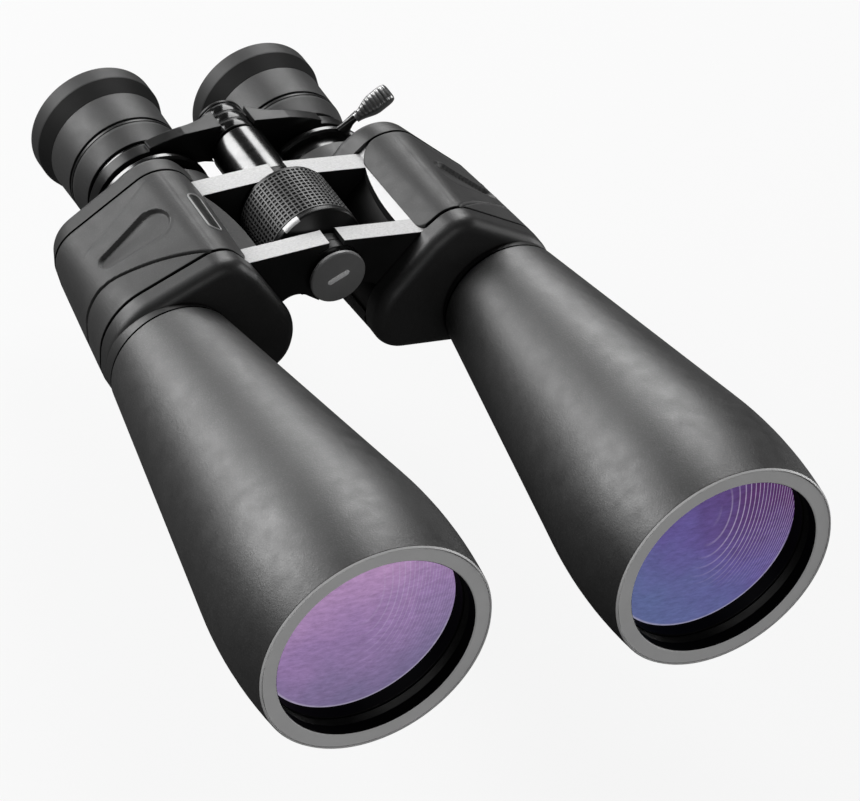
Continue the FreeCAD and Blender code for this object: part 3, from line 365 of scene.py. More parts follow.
def cup_rubber():
    """Soft rubber; the flared front of the cup is smoother and darker than the rear band."""
    s = Shader("cup_rubber")
    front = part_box("left_eyecup")[0].y
    flare = s.short_of(s.back(), front + CUP_FLARE * MM)
    fine = s.noise(3800.0, 3.0, 0.6)
    slow = s.patches(60.0)
    rubber = s.mix(slow, grey(0.026), grey(0.034))
    dark = s.mix(slow, grey(0.014), grey(0.018))
    s.set(Base_Color=s.mix(flare, rubber, dark), Specular_IOR_Level=s.ranged(flare, 0, 1, 0.4, 0.05),
          Roughness=s.ranged(fine, 0.3, 0.7, 0.46, 0.58))
    s.bump(fine, 0.02 * MM, 0.3 * MM)
    return s.material


def casting(side):
    """Semi-matt black casting. Its tops level with the lugs are light grey: bare machined metal, with the
    glare on the flat tops painted in as a highlight.
    """
    s = Shader(SIDES[side] + "_casting")
    up = s.along((side * math.sin(DROOP), 0.0, math.cos(DROOP)))
    bare = s.past(up, (DECK_UP - 0.12) * MM)
    front, rear = DECK_STRIP
    strip = s.math("MULTIPLY", s.rising(s.back(), front * MM, (front + 0.2) * MM),
                   s.falling(s.back(), (rear - 0.2) * MM, rear * MM))
    brushed = s.noise(2600.0, 4.0, 0.7, stretch=(0.35, 1.0, 1.0))
    scratch = s.rising(brushed, 0.3, 0.7)
    # painted highlight: the flat tops, picked by their height, get a light grey for their glare as well as
    # their bare metal
    metal = s.mix(strip, s.mix(scratch, grey(0.46), grey(0.70)), grey(STRIP_HIGHLIGHT_GREY[side]))
    grain = s.noise(3000.0, 3.0, 0.6)
    paint = s.mix(s.patches(60.0), grey(0.008), grey(0.014))
    s.set(Base_Color=s.mix(bare, paint, metal), Metallic=s.ranged(bare, 0, 1, 0.0, 0.15),
          Specular_IOR_Level=s.ranged(bare, 0, 1, 0.2, 0.5),
          Roughness=s.mix(bare, grey(0.38), s.mix(scratch, grey(0.5), grey(0.68))))
    s.bump(s.math("ADD", grain, brushed), 0.012 * MM, 0.25 * MM)
    return s.material


def ring_satin(side):
    """Mid-grey satin face of the objective ring, black on its inner wall, with a black line of painted shade
    in the seam round the upper part of its edge."""
    node = SIDES[side] + "_objective_ring"
    s = Shader(node)
    low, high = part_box(node)
    place = s.vector("SUBTRACT", s.place, tuple((low + high) / 2))
    away = s.from_axis(node)
    # painted shade: the seam line is black, with little shine, only round the upper part of the edge
    upper = s.rising(s.along((-0.5, 0, 0.85), place), 2.0 * MM, 12.0 * MM)
    seam = s.math("MULTIPLY", s.past(away, RING_SEAM_SHADE * MM), upper)
    black = s.math("MAXIMUM", s.short_of(away, RING_WALL * MM), seam)
    fine = s.noise(5000.0, 3.0, 0.6)
    satin = s.mix(s.patches(50.0), grey(0.82), grey(0.90))
    s.set(Base_Color=s.mix(black, satin, grey(0.004)), Specular_IOR_Level=s.ranged(black, 0, 1, 0.5, 0.1),
          Roughness=s.ranged(fine, 0.3, 0.7, 0.4, 0.5))
    s.bump(fine, 0.006 * MM)
    return s.material


def barrel_lacquer():
    """Satin lacquer with a faint ripple. The turned lip round the objective ring is bare, and a painted
    shadow makes the seam at the collar black."""
    s = Shader("barrel_lacquer")
    lip = s.short_of(s.back(), (RING_FRONT + BARE_LIP) * MM)
    # painted shadow: the end of the barrel in front of the collar is black, with no shine
    seam = s.past(s.back(), (COLLAR_FRONT - COLLAR_SHADOW) * MM)
    fine = s.noise(1900.0, 3.0, 0.6)
    ripple = s.noise(700.0, 4.0, 0.6)
    paint = s.mix(s.patches(45.0), grey(0.017), grey(0.025))
    paint = s.mix(s.ranged(fine, 0.5, 0.72, 0.0, 0.6), paint, grey(0.075))
    paint = s.mix(seam, paint, grey(0.002))
    rough = s.ranged(s.noise(160.0, 5.0), 0.3, 0.7, 0.41, 0.51)
    s.set(Base_Color=s.mix(lip, paint, grey(0.9)), Roughness=rough,
          Specular_IOR_Level=s.ranged(seam, 0.0, 1.0, 0.95, 0.0))
    s.bump(s.math("ADD", fine, ripple), 0.05 * MM, 0.3 * MM)
    return s.material


def lens_painted_reflection(side, reflection_hues, way, baffle_reflection_strength):
    """Violet coated glass whose reflection is painted as a glow: three colours slide across the lens along
    way.
    Painted reflections of the baffles in the barrel show as fine curved lines of light near its upper outer
    edge, and a painted highlight makes a pale line on its lower rim."""
    node = SIDES[side] + "_objective_lens"
    s = Shader(node)
    low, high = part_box(node)
    middle = (low + high) / 2
    radius = (high.z - low.z) / 2
    place = s.vector("SUBTRACT", s.place, tuple(middle))
    cloud = s.ranged(s.noise(45.0, 3.0), 0.3, 0.7, -0.10, 0.10)
    across = s.math("ADD", s.rising(s.along(way, place), -radius, radius), cloud)
    reflection_glow = s.mix(s.rising(across, 0.10, 0.50), reflection_hues[0], reflection_hues[1])
    reflection_glow = s.mix(s.rising(across, 0.5, 0.90), reflection_glow, reflection_hues[2])
    # painted reflections of the baffles: fine curved lines of light near the upper outer edge
    start = s.vector("SUBTRACT", place, (-0.05 * radius, 0.0, 0.45 * radius))
    away = s.vector("LENGTH", s.vector("MULTIPLY", start, (1.0, 0.0, 0.55)))
    turns = s.math("POWER", s.math("DIVIDE", away, 6.5 * MM), 1.75)
    line = s.rising(s.math("SINE", s.math("MULTIPLY", turns, 2 * math.pi)), 0.72, 1.0)
    outer = s.rising(s.along((0.9, 0, -0.25), start), 2.0 * MM, 12.0 * MM)
    upper = s.rising(s.along((0.35, 0, 0.95), place), -16.0 * MM, 9.0 * MM)
    baffle_reflections = s.math("MULTIPLY", s.math("MULTIPLY", line, s.math("MULTIPLY", outer, upper)), baffle_reflection_strength)
    reflection_glow = s.mix(baffle_reflections, reflection_glow, (0.48, 0.42, 0.58, 1.0))
    # painted highlight: a pale line along the lower rim
    rim = s.ranged(s.from_axis(node), 33.9 * MM, 34.5 * MM, 0.0, 0.5)
    rim = s.math("MULTIPLY", rim, s.rising(s.along((0, 0, -1), place), 0.0, 12.0 * MM))
    reflection_glow = s.mix(rim, reflection_glow, (0.45, 0.42, 0.52, 1.0))
    streak = s.noise(700.0, 5.0, 0.75, stretch=(0.35, 1.0, 1.0))
    speck = s.ranged(streak, 0.3, 0.7, 0.78, 1.18)
    # the painted reflection glows, fully for the camera and faintly for other rays
    to_camera = s.add("ShaderNodeLightPath").outputs["Is Camera Ray"]
    seen = s.ranged(to_camera, 0.0, 1.0, 0.06, 1.0)
    s.set(Base_Color=grey(0.004), Roughness=0.08, Specular_IOR_Level=0.35, Emission_Color=reflection_glow,
          Emission_Strength=s.math("MULTIPLY", speck, seen))
    s.bump(s.noise(2500.0, 2.0), 0.002 * MM)
    return s.material


def eye_glass():
    """Dark glass with a faint green and violet coating, cloudy where it is handled."""
    s = Shader("coated_glass")
    cloud = s.rising(s.noise(90.0, 3.0), 0.35, 0.65)
    s.set(Base_Color=s.mix(cloud, (0.010, 0.022, 0.018, 1.0), (0.026, 0.014, 0.040, 1.0)),
          Roughness=s.ranged(s.noise(400.0, 4.0), 0.3, 0.7, 0.04, 0.14), Specular_IOR_Level=0.9)
    s.bump(s.noise(2500.0, 2.0), 0.001 * MM)
    return s.material


def cap_look():
    """Dark grey plastic disc on a bright metal neck."""
    s = Shader("tripod_cap_two_tone")
    neck = s.past(s.back(), CAP_NECK * MM)
    fine = s.noise(3500.0, 3.0, 0.6)
    plastic = s.mix(s.patches(70.0, 3.0), grey(0.19), grey(0.23))
    s.set(Base_Color=s.mix(neck, plastic, grey(0.6)), Metallic=neck,
          Roughness=s.mix(neck, grey(0.42), grey(0.2)))
    s.bump(fine, 0.006 * MM, 0.15 * MM)
    return s.material


# the painted reflection in the glass of each half: its colours, the way they slide, and how strong the
# painted baffle lines are
LENS_REFLECTION_LOOK = {
    RIGHT: dict(reflection_hues=((0.175, 0.14, 0.265, 1.0), (0.275, 0.178, 0.361, 1.0), (0.43, 0.26, 0.46, 1.0)),
                way=(-0.3, 0.0, 0.95), baffle_reflection_strength=0.3),
    LEFT: dict(reflection_hues=((0.105, 0.130, 0.290, 1.0), (0.115, 0.090, 0.275, 1.0), (0.085, 0.030, 0.120, 1.0)),
               way=(0.6, 0.0, 0.8), baffle_reflection_strength=0.75),
}

# the look of each material slot of the record; the looks given a reach have painted shade in their grooves
# and seams
SLOT_LOOKS = {
    "barrel_paint": barrel_lacquer(),
    "armour_rubber": grained("armour_rubber", 0.036, 0.50, 1.7, 0.060, mottle=0.10, shade_reach=1.6 * MM,
                             specular=0.45, ends=(1.3 * MM, (HOUSING_LENGTH - 0.5) * MM)),
    "cover_plastic": grained("cover_plastic", 0.026, 0.44, 1.9, 0.045, mottle=0.10, shade_reach=1.6 * MM,
                             rounding=0.3 * MM),
    "ring_metal": grained("ring_metal", 0.2, 0.42, 6.0, 0.006, mottle=0.06),
    "casting_paint": grained("casting_paint", 0.012, 0.4, 3.0, 0.03, rounding=0.4 * MM),
    "black_anodised": grained("black_anodised", 0.004, 0.35, 5.0, 0.005, rounding=0.15 * MM),
    "prism_glass": grained("prism_glass", 0.6, 0.05, 2.0, 0.0, mottle=0.02),
    "spring_steel": turned_metal("spring_steel", 0.5, 0.3),
    "black_chrome": turned_metal("black_chrome", 0.13, 0.20),
    "black_metal": grained("black_metal", 0.006, 0.33, 3.0, 0.008, mottle=0.2, rounding=0.6 * MM,
                           specular=0.3),
    "steel": turned_metal("steel", 0.5, 0.25),
    "sleeve_rubber": grained("sleeve_rubber", 0.036, 0.50, 2.0, 0.030, mottle=0.08, shade_reach=1.2 * MM,
                             rounding=0.3 * MM),
    "cup_rubber": cup_rubber(),
    "grip_rubber": grained("grip_rubber", 0.07, 0.45, 4.0, 0.02),
    "washer_plastic": grained("washer_plastic", 0.5, 0.4, 4.0, 0.005),
    "trim_metal": turned_metal("trim_metal", 0.06, 0.35),
    "cap_plastic": grained("cap_plastic", 0.05, 0.42, 4.0, 0.015, rounding=0.2 * MM),
    "plate_metal": grained("plate_metal", 0.1, 0.35, 4.0, 0.005),
    "coated_glass": eye_glass(),
}


def dress(node, look):
    """Give one CAD node its look."""
    materials = frame["nodes"][node].data.materials
    materials.clear()
    materials.append(look)


def dress_frame():
    """Give every CAD node the look of its material slot, and the special ones their own."""
    for entry in frame["record"]["subparts"]:
        dress(entry["node"], SLOT_LOOKS[entry["material_slot"]])
    for side, word in SIDES.items():
        dress(word + "_prism_housing", casting(side))
        dress(word + "_objective_ring", ring_satin(side))
        dress(word + "_objective_lens", lens_painted_reflection(side, **LENS_REFLECTION_LOOK[side]))
    dress("tripod_cap", cap_look())


# ---------------------------------------------------------------- rubber armour

# corners of the housing's outline at the front seam and the rear seam: out, up, radius
FRONT_CORNERS = [(32.6, DECK_UP, 8), (43.0, 23.0, 11), (88.1, 4.9, 23),
                 (87.8, -32.2, 17), (20.5, -32.6, 13.5), (16.0, -13.0, 20)]
REAR_CORNERS = [(31.2, DECK_UP, 8), (42.5, 25.9, 15), (86.0, -2.4, 13.5),
                (78.4, -28.8, 14), (16.0, -33.5, 9.5), (16.6, -13.0, 20)]
CORNER_POINTS = 17              # points round each corner of the outline

# the skin is laid out by distance over it, from the top of the ridge beside the deck, and by
# distance back
SKIN_DEPTH = 1.5
SKIN_START = -15.3              # inner edge, beside the deck
SKIN_FRONT = 0.7
SKIN_REAR = HOUSING_LENGTH - 0.3
FRONT_ROUND = 6.5
REAR_ROUND = 9.5
# rounded corners beside the deck: radius, where the rounding starts, way to the nearer end
SKIN_ROUNDS = ((FRONT_ROUND, SKIN_FRONT + FRONT_ROUND, -1), (REAR_ROUND, SKIN_REAR - REAR_ROUND, 1))
EDGE_ROLL = 0.9                 # radius of the skin's rolled edges
SKIN_BOTTOM = -22.0             # height at which the skin ends on the wall that faces the hinge
RELIEF = (-1.6, 66.0)           # stretch over the skin that has relief and a fine mesh
RECESS_WIDE = (15.8, 27.2, 7.6)     # big end of the finger recess: over, back, radius
RECESS_NARROW = (34.2, 25.0, 4.3)
RECESS_DEPTH = 1.5
RECESS_SHALLOW = 0.12           # share of the depth that the front of the recess has
RECESS_RIM = 0.13               # height of the rim round the recess
CREASE_OVER = 2.1               # line along the ridge
CREASE_DEPTH = 0.07
GROOVE = arc((CREASE_OVER, -0.5), (44.0, 16.0), 3.4, 16) + [(66.0, 15.7), (150.0, 15.5)]
GROOVE_DEPTH = 1.0
GROOVE_HALF = (0.15, 0.85)      # half width of its floor and of its mouth
RAISED_LINE = ((8.0, 47.7), (40.4, 34.8))
RAISED_HEIGHT = 0.14


def housing_outline(back):
    """Distance over the skin, out, up and outward normal along the outline at one station."""
    share = back / HOUSING_LENGTH
    corners = np.array(FRONT_CORNERS) * (1 - share) + np.array(REAR_CORNERS) * share
    points, normals = [], []
    for i in range(len(corners) - 1):
        here, radius = corners[i][:2], corners[i][2]
        come = here - corners[i - 1][:2]
        go = corners[i + 1][:2] - here
        come, go = come / np.hypot(*come), go / np.hypot(*go)
        turn = math.acos(float(np.clip(come @ go, -1, 1)))
        reach = radius * math.tan(turn / 2)
        way = np.sign(come[0] * go[1] - come[1] * go[0])
        centre = here - come * reach + np.array([-come[1], come[0]]) * radius * way
        out_first = (here - come * reach - centre) / radius
        for share_of_turn in np.linspace(0, 1, CORNER_POINTS):
            angle = way * turn * share_of_turn
            c, s = math.cos(angle), math.sin(angle)
            normal = np.array([out_first[0] * c - out_first[1] * s, out_first[0] * s + out_first[1] * c])
            points.append(centre + normal * radius)
            normals.append(-normal * way)
    points, normals = np.array(points), np.array(normals)
    over = np.concatenate([[0], np.cumsum(np.hypot(*np.diff(points, axis=0).T))])
    ridge = CORNER_POINTS + CORNER_POINTS // 2      # middle of the second corner
    return over - over[ridge], points, normals


def on_skin(side, over, back, lift):
    """Points at a distance over the skin, a station and a height above the skin."""
    over, back, lift = np.broadcast_arrays(over, back, lift)
    flat_over, flat_back, flat_lift = over.ravel(), back.ravel(), lift.ravel()
    points = np.zeros((len(flat_over), 3))
    for station in np.unique(flat_back):
        row = flat_back == station
        track, outline, normals = housing_outline(station)
        x = np.interp(flat_over[row], track, outline[:, 0])
        z = np.interp(flat_over[row], track, outline[:, 1])
        nx = np.interp(flat_over[row], track, normals[:, 0])
        nz = np.interp(flat_over[row], track, normals[:, 1])
        scale = flat_lift[row] / np.hypot(nx, nz)
        points[row] = in_row(side, x + nx * scale, station, z + nz * scale)
    return points.reshape(over.shape + (3,))


def skin_end(back):
    """Distance over the skin at which it ends on the wall that faces the hinge."""
    track, outline, _ = housing_outline(back)
    below = np.nonzero(outline[:, 1] < SKIN_BOTTOM)[0][-1]
    return track[below]


def inside_edge(over, back, end):
    """Distance of a point of the skin from the skin's edge."""
    distance = np.minimum(np.minimum(over - SKIN_START, end - over),
                          np.minimum(back - SKIN_FRONT, SKIN_REAR - back))
    for radius, station, way in SKIN_ROUNDS:
        corner_over = SKIN_START + radius
        corner = ((back - station) * way > 0) & (over < corner_over)
        rounded = radius - np.hypot(over - corner_over, back - station)
        distance = np.where(corner, rounded, distance)
    return distance


def skin_start(back):
    """Where the skin starts at one station, round its corners."""
    for radius, station, way in SKIN_ROUNDS:
        if (back - station) * way > 0:
            return SKIN_START + radius - math.sqrt(max(radius ** 2 - (back - station) ** 2, 0.0))
    return SKIN_START


def skin_relief(over, back):
    """Height of the skin above the plain housing: finger recess, groove, raised line, crease."""
    wide, narrow = RECESS_WIDE, RECESS_NARROW
    away, along = from_line(over, back, wide[:2], narrow[:2])
    radius = wide[2] + (narrow[2] - wide[2]) * along
    middle = wide[1] + (narrow[1] - wide[1]) * along
    rim = away - radius
    rearward = (back - middle) / radius
    floor = RECESS_SHALLOW + (1 - RECESS_SHALLOW) * smooth(rearward, -0.95, 0.75)
    height = -RECESS_DEPTH * smooth(-rim, 0.0, 1.1) * floor
    height += RECESS_RIM * np.exp(-(rim / 0.45) ** 2)
    stretches = [from_line(over, back, first, last)[0] for first, last in zip(GROOVE, GROOVE[1:])]
    groove = np.minimum.reduce(stretches)
    height -= GROOVE_DEPTH * (1 - smooth(groove, *GROOVE_HALF))
    raised, _ = from_line(over, back, *RAISED_LINE)
    height += RAISED_HEIGHT * np.exp(-(raised / 0.35) ** 2)
    height -= CREASE_DEPTH * np.exp(-((over - CREASE_OVER) / 0.5) ** 2)
    return height


def armour_skin(side):
    """The rubber skin as one closed sheet with its relief, edges rolled down to the casting."""
    step = 0.45
    beside_deck = 11.0          # width of the coarser panel beside the deck
    roll = EDGE_ROLL * np.array([0.0, 0.05, 0.15, 0.35, 0.65, 1.0])
    inset = EDGE_ROLL + 0.4
    rows = np.concatenate([SKIN_FRONT + roll, np.arange(SKIN_FRONT + inset, SKIN_REAR - inset, step),
                           (SKIN_REAR - roll)[::-1]])
    edge = np.concatenate([roll, np.linspace(1.2, beside_deck, 22)]) / beside_deck
    over = []
    for back in rows:
        start = skin_start(back)
        panel = start + edge * (RELIEF[0] - 0.4 - start)
        over.append(np.concatenate([panel, np.arange(*RELIEF, step),
                                    np.linspace(RELIEF[1], skin_end(back), 44)]))
    over = np.array(over)
    back = np.repeat(rows[:, None], over.shape[1], axis=1)
    inside = np.clip(inside_edge(over, back, over[:, -1:]), 0.0, EDGE_ROLL)
    rolled = EDGE_ROLL - np.sqrt(EDGE_ROLL ** 2 - (EDGE_ROLL - inside) ** 2)
    fade = smooth(inside, 0.0, EDGE_ROLL)
    top = on_skin(side, over, back, skin_relief(over, back) * fade - rolled)
    under = on_skin(side, over, back, np.full(over.shape, -SKIN_DEPTH))
    count = over.size
    lines, columns = over.shape
    faces = grid_faces(lines, columns) + grid_faces(lines, columns, start=count)
    border = [(0, j) for j in range(columns)]
    border += [(i, columns - 1) for i in range(1, lines)]
    border += [(lines - 1, j) for j in range(columns - 2, -1, -1)]
    border += [(i, 0) for i in range(lines - 2, 0, -1)]
    ring = [i * columns + j for i, j in border]
    for first, last in zip(ring, ring[1:] + ring[:1]):
        faces.append((first, last, last + count, first + count))
    word = SIDES[side]
    add_piece(word + "_armour_skin", np.concatenate([top.reshape(-1, 3), under.reshape(-1, 3)]), faces,
              SLOT_LOOKS["armour_rubber"], HALF[side], [word + "_armour"])


# ---------------------------------------------------------------- nameplate

PLATE_MIDDLE = (-4.9, 24.3)     # over the skin, back
PLATE_HALF = (3.2, 10.9)
PLATE_ROUND = 2.7


def plate_loop(inset, lift):
    """A loop of points on the skin along the plate's rounded outline, moved in and lifted."""
    radius = max(PLATE_ROUND - inset, 0.25)
    half_over, half_back = PLATE_HALF[0] - inset - radius, PLATE_HALF[1] - inset - radius
    over, back = [], []
    for quarter, (sign_over, sign_back) in enumerate(((1, 1), (-1, 1), (-1, -1), (1, -1))):
        for angle in np.radians(90 * quarter + np.linspace(0, 90, 9)):
            over.append(PLATE_MIDDLE[0] + sign_over * half_over + radius * math.cos(angle))
            back.append(PLATE_MIDDLE[1] + sign_back * half_back + radius * math.sin(angle))
    return on_skin(RIGHT, np.array(over), np.array(back), np.full(len(over), lift))


def nameplate():
    """A blank plate curved to the armour: a bright raised frame round a dark field. Each loop of
    points has an inset and a lift."""
    sunk = -0.5
    rim_steps = ((0, sunk), (0, 0.2), (0.15, 0.38), (0.55, 0.38), (0.7, 0.2), (0.7, sunk))
    rim = np.array([plate_loop(*place) for place in rim_steps])
    faces = grid_faces(len(rim), rim.shape[1], close_rows=True, close_columns=True)
    add_piece("nameplate_frame", rim, faces,
              grained("nameplate_rim", 0.28, 0.40, 4.0, 0.004), "right_half")
    field_steps = ((0.65, sunk), (0.65, 0.12), (1.2, 0.16), (1.8, 0.17), (2.4, 0.17))
    field = [plate_loop(*place) for place in field_steps]
    add_piece("nameplate_field", field, capped_loops(field),
              grained("nameplate_enamel", 0.006, 0.42, 3.0, 0.01, specular=0.2),
              "right_half", ["nameplate"])


# ---------------------------------------------------------------- focus wheel

GRIP_CELLS_ROUND = 60
GRIP_CELLS_LONG = 13
GRIP_CUT = 0.5
# one cell of the knurl: share of the cell, height above the raised grid
GRIP_CELL = ((0.0, 0.0), (0.24, 0.0), (0.34, -GRIP_CUT), (0.90, -GRIP_CUT))


def knurl_look():
    """Rubber with a mottled raised grid; painted shade makes the bottoms of its squares near black."""
    s = Shader("grip_knurl")
    unshaded_grid = s.rising(s.from_axis("focus_grip"), (GRIP_RADIUS - GRIP_CUT) * MM, GRIP_RADIUS * MM)
    fine = s.noise(3500.0, 3.0, 0.6)
    worn = s.mix(s.rising(s.noise(300.0), 0.35, 0.65), grey(0.065), grey(0.10))
    # painted shade: the bottoms of the squares are near black
    s.set(Base_Color=s.mix(unshaded_grid, grey(0.004), worn), Roughness=s.ranged(fine, 0.3, 0.7, 0.36, 0.5))
    s.bump(fine, 0.015 * MM)
    return s.material


def focus_grip():
    """The grip sleeve with its square knurl, a plain band at its rear and a bore."""
    front, band, rear = GRIP_FRONT + 0.1, GRIP_REAR - 0.6, GRIP_REAR - 0.3
    pitch = (band - front) / GRIP_CELLS_LONG
    back, height = [], []
    for cell in range(GRIP_CELLS_LONG):
        for share, lift in GRIP_CELL:
            back.append(front + pitch * (cell + share))
            height.append(lift)
    back += [band, rear, GRIP_REAR - 0.1, GRIP_FRONT + 0.05]
    height += [0.0, 0.0]
    bore = [DRUM_RADIUS + 0.05] * 2
    points = []
    for cell in range(GRIP_CELLS_ROUND):
        for share, lift in GRIP_CELL:
            angle = 2 * math.pi * (cell + share) / GRIP_CELLS_ROUND
            radius = np.append(GRIP_RADIUS + np.maximum(height, lift), bore)
            points.append(in_row(LEFT, radius * math.cos(angle), back, radius * math.sin(angle)))
    points = np.array(points)
    faces = grid_faces(points.shape[0], points.shape[1], close_rows=True, close_columns=True)
    add_piece("focus_grip_knurl", points, faces, knurl_look(), "focus_wheel",
              ["focus_grip"], crease=30)


def wheel_mark_and_highlight():
    """White index mark that follows the bevel and the edge of the wheel's front flange; it also paints in
    the highlight of the bevel.
    """
    flange = arc((16.6, 12.3), (17.3, 13.9), -0.4, 6) + [(17.3, 14.9)]
    proud = [(radius + 0.12, back - 0.12) for radius, back in flange]
    sunk = [(radius - 0.3, back + 0.3) for radius, back in reversed(flange)]
    points, faces = turned(proud + sunk, LEFT, 0.0, 0.0, start=126.0, end=148.0, steps=14)
    add_piece("wheel_index_mark_and_highlight", points, faces, grained("index_paint_and_highlight", 0.8, 0.45, 4.0, 0.004, mottle=0.03),
              "focus_wheel")


# ---------------------------------------------------------------- zoom lever

PADDLE_FOOT = (9.9, 26.6)       # beside the left eyepiece axis: outward, up
PADDLE_TIP = (21.9, 37.4)
PADDLE_BACK = 74.4              # middle of the paddle along the axis
PADDLE_WIDTH = 7.0
PADDLE_HALF_THICK = 1.8         # at its foot
PADDLE_SWELL = 1.5              # how much that grows towards the tip
PADDLE_CLOSE = 0.84             # share of its length at which the round tip starts
PADDLE_RIDGES = 10
RIDGE_HEIGHT = 0.6
PADDLE_TWIST = math.radians(32)     # turn of its upper face towards the front
# the stem: outward, up, half width, half depth
STEM = ((6.2, 20.9, 3.4, 1.4), (7.2, 22.9, 2.4, 1.4), (8.3, 24.8, 1.8, 1.5), (9.6, 26.4, 1.55, 1.7),
        (11.2, 27.9, 1.45, 2.0))


def lever_point(along, across, back):
    """A point of the paddle: along from its foot, across to its upper left face, back."""
    foot, tip = np.array(PADDLE_FOOT), np.array(PADDLE_TIP)
    way = (tip - foot) / np.hypot(*(tip - foot))
    behind = np.asarray(back) - PADDLE_BACK
    raised = across * math.cos(PADDLE_TWIST) + behind * math.sin(PADDLE_TWIST)
    behind = behind * math.cos(PADDLE_TWIST) - across * math.sin(PADDLE_TWIST)
    over = foot[0] + way[0] * along - way[1] * raised
    up = foot[1] + way[1] * along + way[0] * raised
    return in_row(LEFT, OCULAR[0] + over, PADDLE_BACK + behind, OCULAR[1] + up)


def zoom_paddle():
    """The thumb paddle: thicker to its round tip, with ridges across both faces."""
    foot, tip = np.array(PADDLE_FOOT), np.array(PADDLE_TIP)
    length = float(np.hypot(*(tip - foot)))
    loops = []
    for turn in np.radians(np.linspace(0, 180, 9)):
        inset = 0.9 * (1 - math.sin(turn)) ** 2
        t = np.linspace(0, 1, 90)
        half = PADDLE_HALF_THICK + PADDLE_SWELL * smooth(t, 0.0, 0.55) - inset
        wide = (PADDLE_WIDTH / 2) * (0.45 + 0.55 * smooth(t, 0.0, 0.6))
        back = PADDLE_BACK - wide * math.cos(turn) * (0.72 + 0.28 * abs(math.cos(turn)))
        tip_share = np.clip((t - PADDLE_CLOSE) / (1 - PADDLE_CLOSE), 0, 1)
        close = np.sqrt(1 - tip_share ** 2)
        ridge = RIDGE_HEIGHT * np.abs(np.sin(np.pi * PADDLE_RIDGES * t)) * smooth(t, 0.0, 0.12) * (1 - inset)
        upper = (half + ridge) * close
        lower = -(half + 0.3 * ridge) * close
        along = np.concatenate([t * (length - inset), (t * (length - inset))[-2:0:-1]])
        across = np.concatenate([upper, lower[-2:0:-1]])
        loops.append(lever_point(along, across, np.concatenate([back, back[-2:0:-1]])))
    add_piece("zoom_lever_paddle", loops, capped_loops(loops),
              grained("lever_paddle", 0.32, 0.34, 3.0, 0.005, shade_reach=0.8 * MM, metallic=1.0),
              "left_zoom_ring", crease=60)


def zoom_stem():
    """The bright neck that rises from the zoom ring and runs into the paddle."""
    loops = []
    for i, (over, up, half, deep) in enumerate(STEM):
        before, after = STEM[max(i - 1, 0)], STEM[min(i + 1, len(STEM) - 1)]
        way = np.array([after[0] - before[0], after[1] - before[1]])
        way = way / np.hypot(*way)
        angle = np.linspace(0, 2 * math.pi, 28, endpoint=False)
        across = half * np.cos(angle)
        back = PADDLE_BACK + 0.8 + deep * np.sin(angle)
        loops.append(in_row(LEFT, OCULAR[0] + over - way[1] * across, back,
                            OCULAR[1] + up + way[0] * across))
    add_piece("zoom_lever_stem", loops, capped_loops(loops), SLOT_LOOKS["black_chrome"],
              "left_zoom_ring", ["zoom_lever"], crease=60)


# ---------------------------------------------------------------- small turned details

def knuckle_bands():
    """Polished bands round the three bridge knuckles."""
    look = grained("knuckle_polish", 0.006, 0.16, 2.0, 0.004, mottle=0.2)
    sunk = HUB_RADIUS - 0.4
    for place, body in enumerate(("right_eyepiece", "left_eyepiece", "right_eyepiece")):
        front = HUB_FRONT + HUB_STEP * place + 0.5
        rear = front + 3.8
        crown = arc((HUB_RADIUS, front), (HUB_RADIUS, rear), -0.16, 8)
        profile = [(sunk, front)] + crown + [(sunk, rear)]
        points, faces = turned(profile, LEFT, 0.0, 0.0, start=38.0, end=142.0, steps=60)
        add_piece("bridge_knuckle_band_%d" % (place + 1), points, faces, look, body)


def recess_threads(side):
    """Fine thread in the wall between the objective ring and the lens retainer."""
    pitch = 0.5
    ridges = 7
    crest, root, outside = 35.15, 35.5, 35.9
    front = RING_FRONT + 4.7
    profile = []
    for ridge in range(ridges):
        profile.append((crest, front + pitch * ridge))
        profile.append((root, front + pitch * (ridge + 0.5)))
    profile += [(outside, front + pitch * (ridges - 0.5)), (outside, front)]
    points, faces = turned(profile, side, OBJECTIVE[0], OBJECTIVE[1], steps=180)
    add_piece(SIDES[side] + "_recess_threads", points, faces, SLOT_LOOKS["black_anodised"],
              HALF[side])


def cap_mark():
    """A plain pale bar let into the face of the tripod cap."""
    half_long, half_wide = 4.4, 1.15
    tilt = math.radians(28)
    loops = []
    for inset, back in ((0.0, CAP_FACE + 0.3), (0.0, CAP_FACE - 0.02), (0.12, CAP_FACE - 0.1)):
        angle = np.linspace(0, 2 * math.pi, 40, endpoint=False)
        radius = half_wide - inset
        along = np.sign(np.cos(angle)) * (half_long - half_wide) + radius * np.cos(angle)
        across = radius * np.sin(angle)
        x = along * math.cos(tilt) - across * math.sin(tilt)
        z = along * math.sin(tilt) + across * math.cos(tilt)
        loops.append(np.stack([x, np.full(len(x), back), z], axis=-1) * MM)
    add_piece("tripod_cap_mark", loops, capped_loops(loops),
              grained("mark_paint", 0.95, 0.45, 4.0, 0.004, mottle=0.03), "tripod_cap")


def build_pieces():
    for side in SIDES:
        armour_skin(side)
        recess_threads(side)
    nameplate()
    focus_grip()
    wheel_mark_and_highlight()
    zoom_paddle()
    zoom_stem()
    knuckle_bands()
    cap_mark()


dress_frame()
build_pieces()


# ---------------------------------------------------------------- stage, light and camera

CAMERA_LENS = 165.8             # on a sensor 36 wide
CAMERA_PLACE = (-0.5883, -0.9720, 0.7949)       # metres
CAMERA_TURN = (52.975, -7.930, -27.326)         # degrees about x, y, z
FLOOR_DROP = 40.0               # below the CAD box, room for a half folded down
FLOOR_HALF = 6.0                # metres


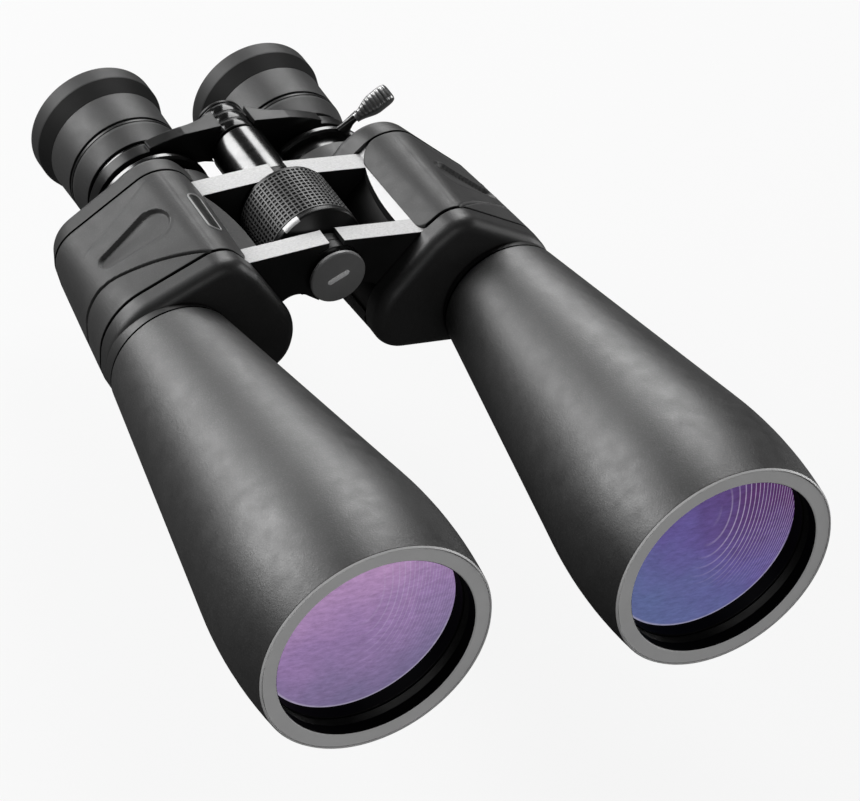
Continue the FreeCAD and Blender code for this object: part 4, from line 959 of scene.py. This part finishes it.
def camera_rays_only(tree, shown, hidden, output):
    """Show one shader to the camera and another to every other ray."""
    path = tree.nodes.new("ShaderNodeLightPath")
    mix = tree.nodes.new("ShaderNodeMixShader")
    tree.links.new(path.outputs["Is Camera Ray"], mix.inputs[0])
    tree.links.new(hidden, mix.inputs[1])
    tree.links.new(shown, mix.inputs[2])
    tree.links.new(mix.outputs[0], output)


def stage_floor():
    """A pale sheet, low enough for a half folded down. It throws little light back up."""
    z = cad_low.z - FLOOR_DROP * MM
    mesh = bpy.data.meshes.new("floor")
    corners = [(x * FLOOR_HALF, y * FLOOR_HALF, z) for x, y in ((-1, -1), (1, -1), (1, 1), (-1, 1))]
    mesh.from_pydata(corners, [], [(0, 1, 2, 3)])
    floor = bpy.data.objects.new("floor", mesh)
    bpy.context.scene.collection.objects.link(floor)
    s = Shader("floor_paper")
    s.set(Base_Color=grey(0.05), Roughness=1.0, Specular_IOR_Level=0.0, Emission_Color=(1, 1, 1, 1),
          Emission_Strength=0.90)
    dim = s.add("ShaderNodeBsdfDiffuse")
    dim.inputs["Color"].default_value = grey(0.08)
    output = s.nodes["Material Output"].inputs["Surface"]
    camera_rays_only(s.material.node_tree, s.bsdf.outputs[0], dim.outputs[0], output)
    mesh.materials.append(s.material)


def area_light(name, place, aim, size, power):
    """A rectangular lamp turned towards a point; metres and watts."""
    data = bpy.data.lights.new(name, "AREA")
    data.shape = "RECTANGLE"
    data.size, data.size_y = size
    data.energy = power
    lamp = bpy.data.objects.new(name, data)
    lamp.location = place
    lamp.rotation_euler = (Vector(aim) - Vector(place)).to_track_quat("-Z", "Y").to_euler()
    bpy.context.scene.collection.objects.link(lamp)


def stage_light():
    """Two softboxes behind the binoculars, one each side, and weak fills from front, back and side."""
    world = bpy.data.worlds.new("studio")
    bpy.context.scene.world = world
    world.use_nodes = True
    nodes = world.node_tree.nodes
    pale = nodes["Background"]
    pale.inputs["Color"].default_value = grey(0.93)
    dark = nodes.new("ShaderNodeBackground")
    dark.inputs["Color"].default_value = grey(0.030)
    output = nodes["World Output"].inputs["Surface"]
    camera_rays_only(world.node_tree, pale.outputs[0], dark.outputs[0], output)
    area_light("front_fill", (-0.25, -1.35, 0.30), (0.0, -0.1, 0.0), (0.9, 0.9), 4.0)
    area_light("back_fill", (0.30, 1.50, 0.30), (0.0, 0.1, 0.0), (0.9, 0.9), 5.0)
    area_light("side_fill", (1.45, -0.10, 0.15), (0.0, 0.0, 0.0), (0.9, 0.6), 7.0)
    area_light("right_softbox", (0.34, 0.54, 0.68), (0.0, -0.02, 0.0), (0.38, 0.80), 6.0)
    area_light("left_softbox", (-0.62, 0.56, 0.42), (0.0, -0.02, 0.0), (0.75, 0.50), 9.0)


def stage_camera():
    """The camera of the photograph, found from the circles of the binoculars."""
    data = bpy.data.cameras.new("camera")
    data.sensor_width = 36.0
    data.lens = CAMERA_LENS
    camera = bpy.data.objects.new("camera", data)
    camera.location = CAMERA_PLACE
    camera.rotation_euler = [math.radians(angle) for angle in CAMERA_TURN]
    bpy.context.scene.collection.objects.link(camera)
    bpy.context.scene.camera = camera


stage_floor()
stage_light()
stage_camera()
bpy.context.scene.view_settings.view_transform = "Standard"
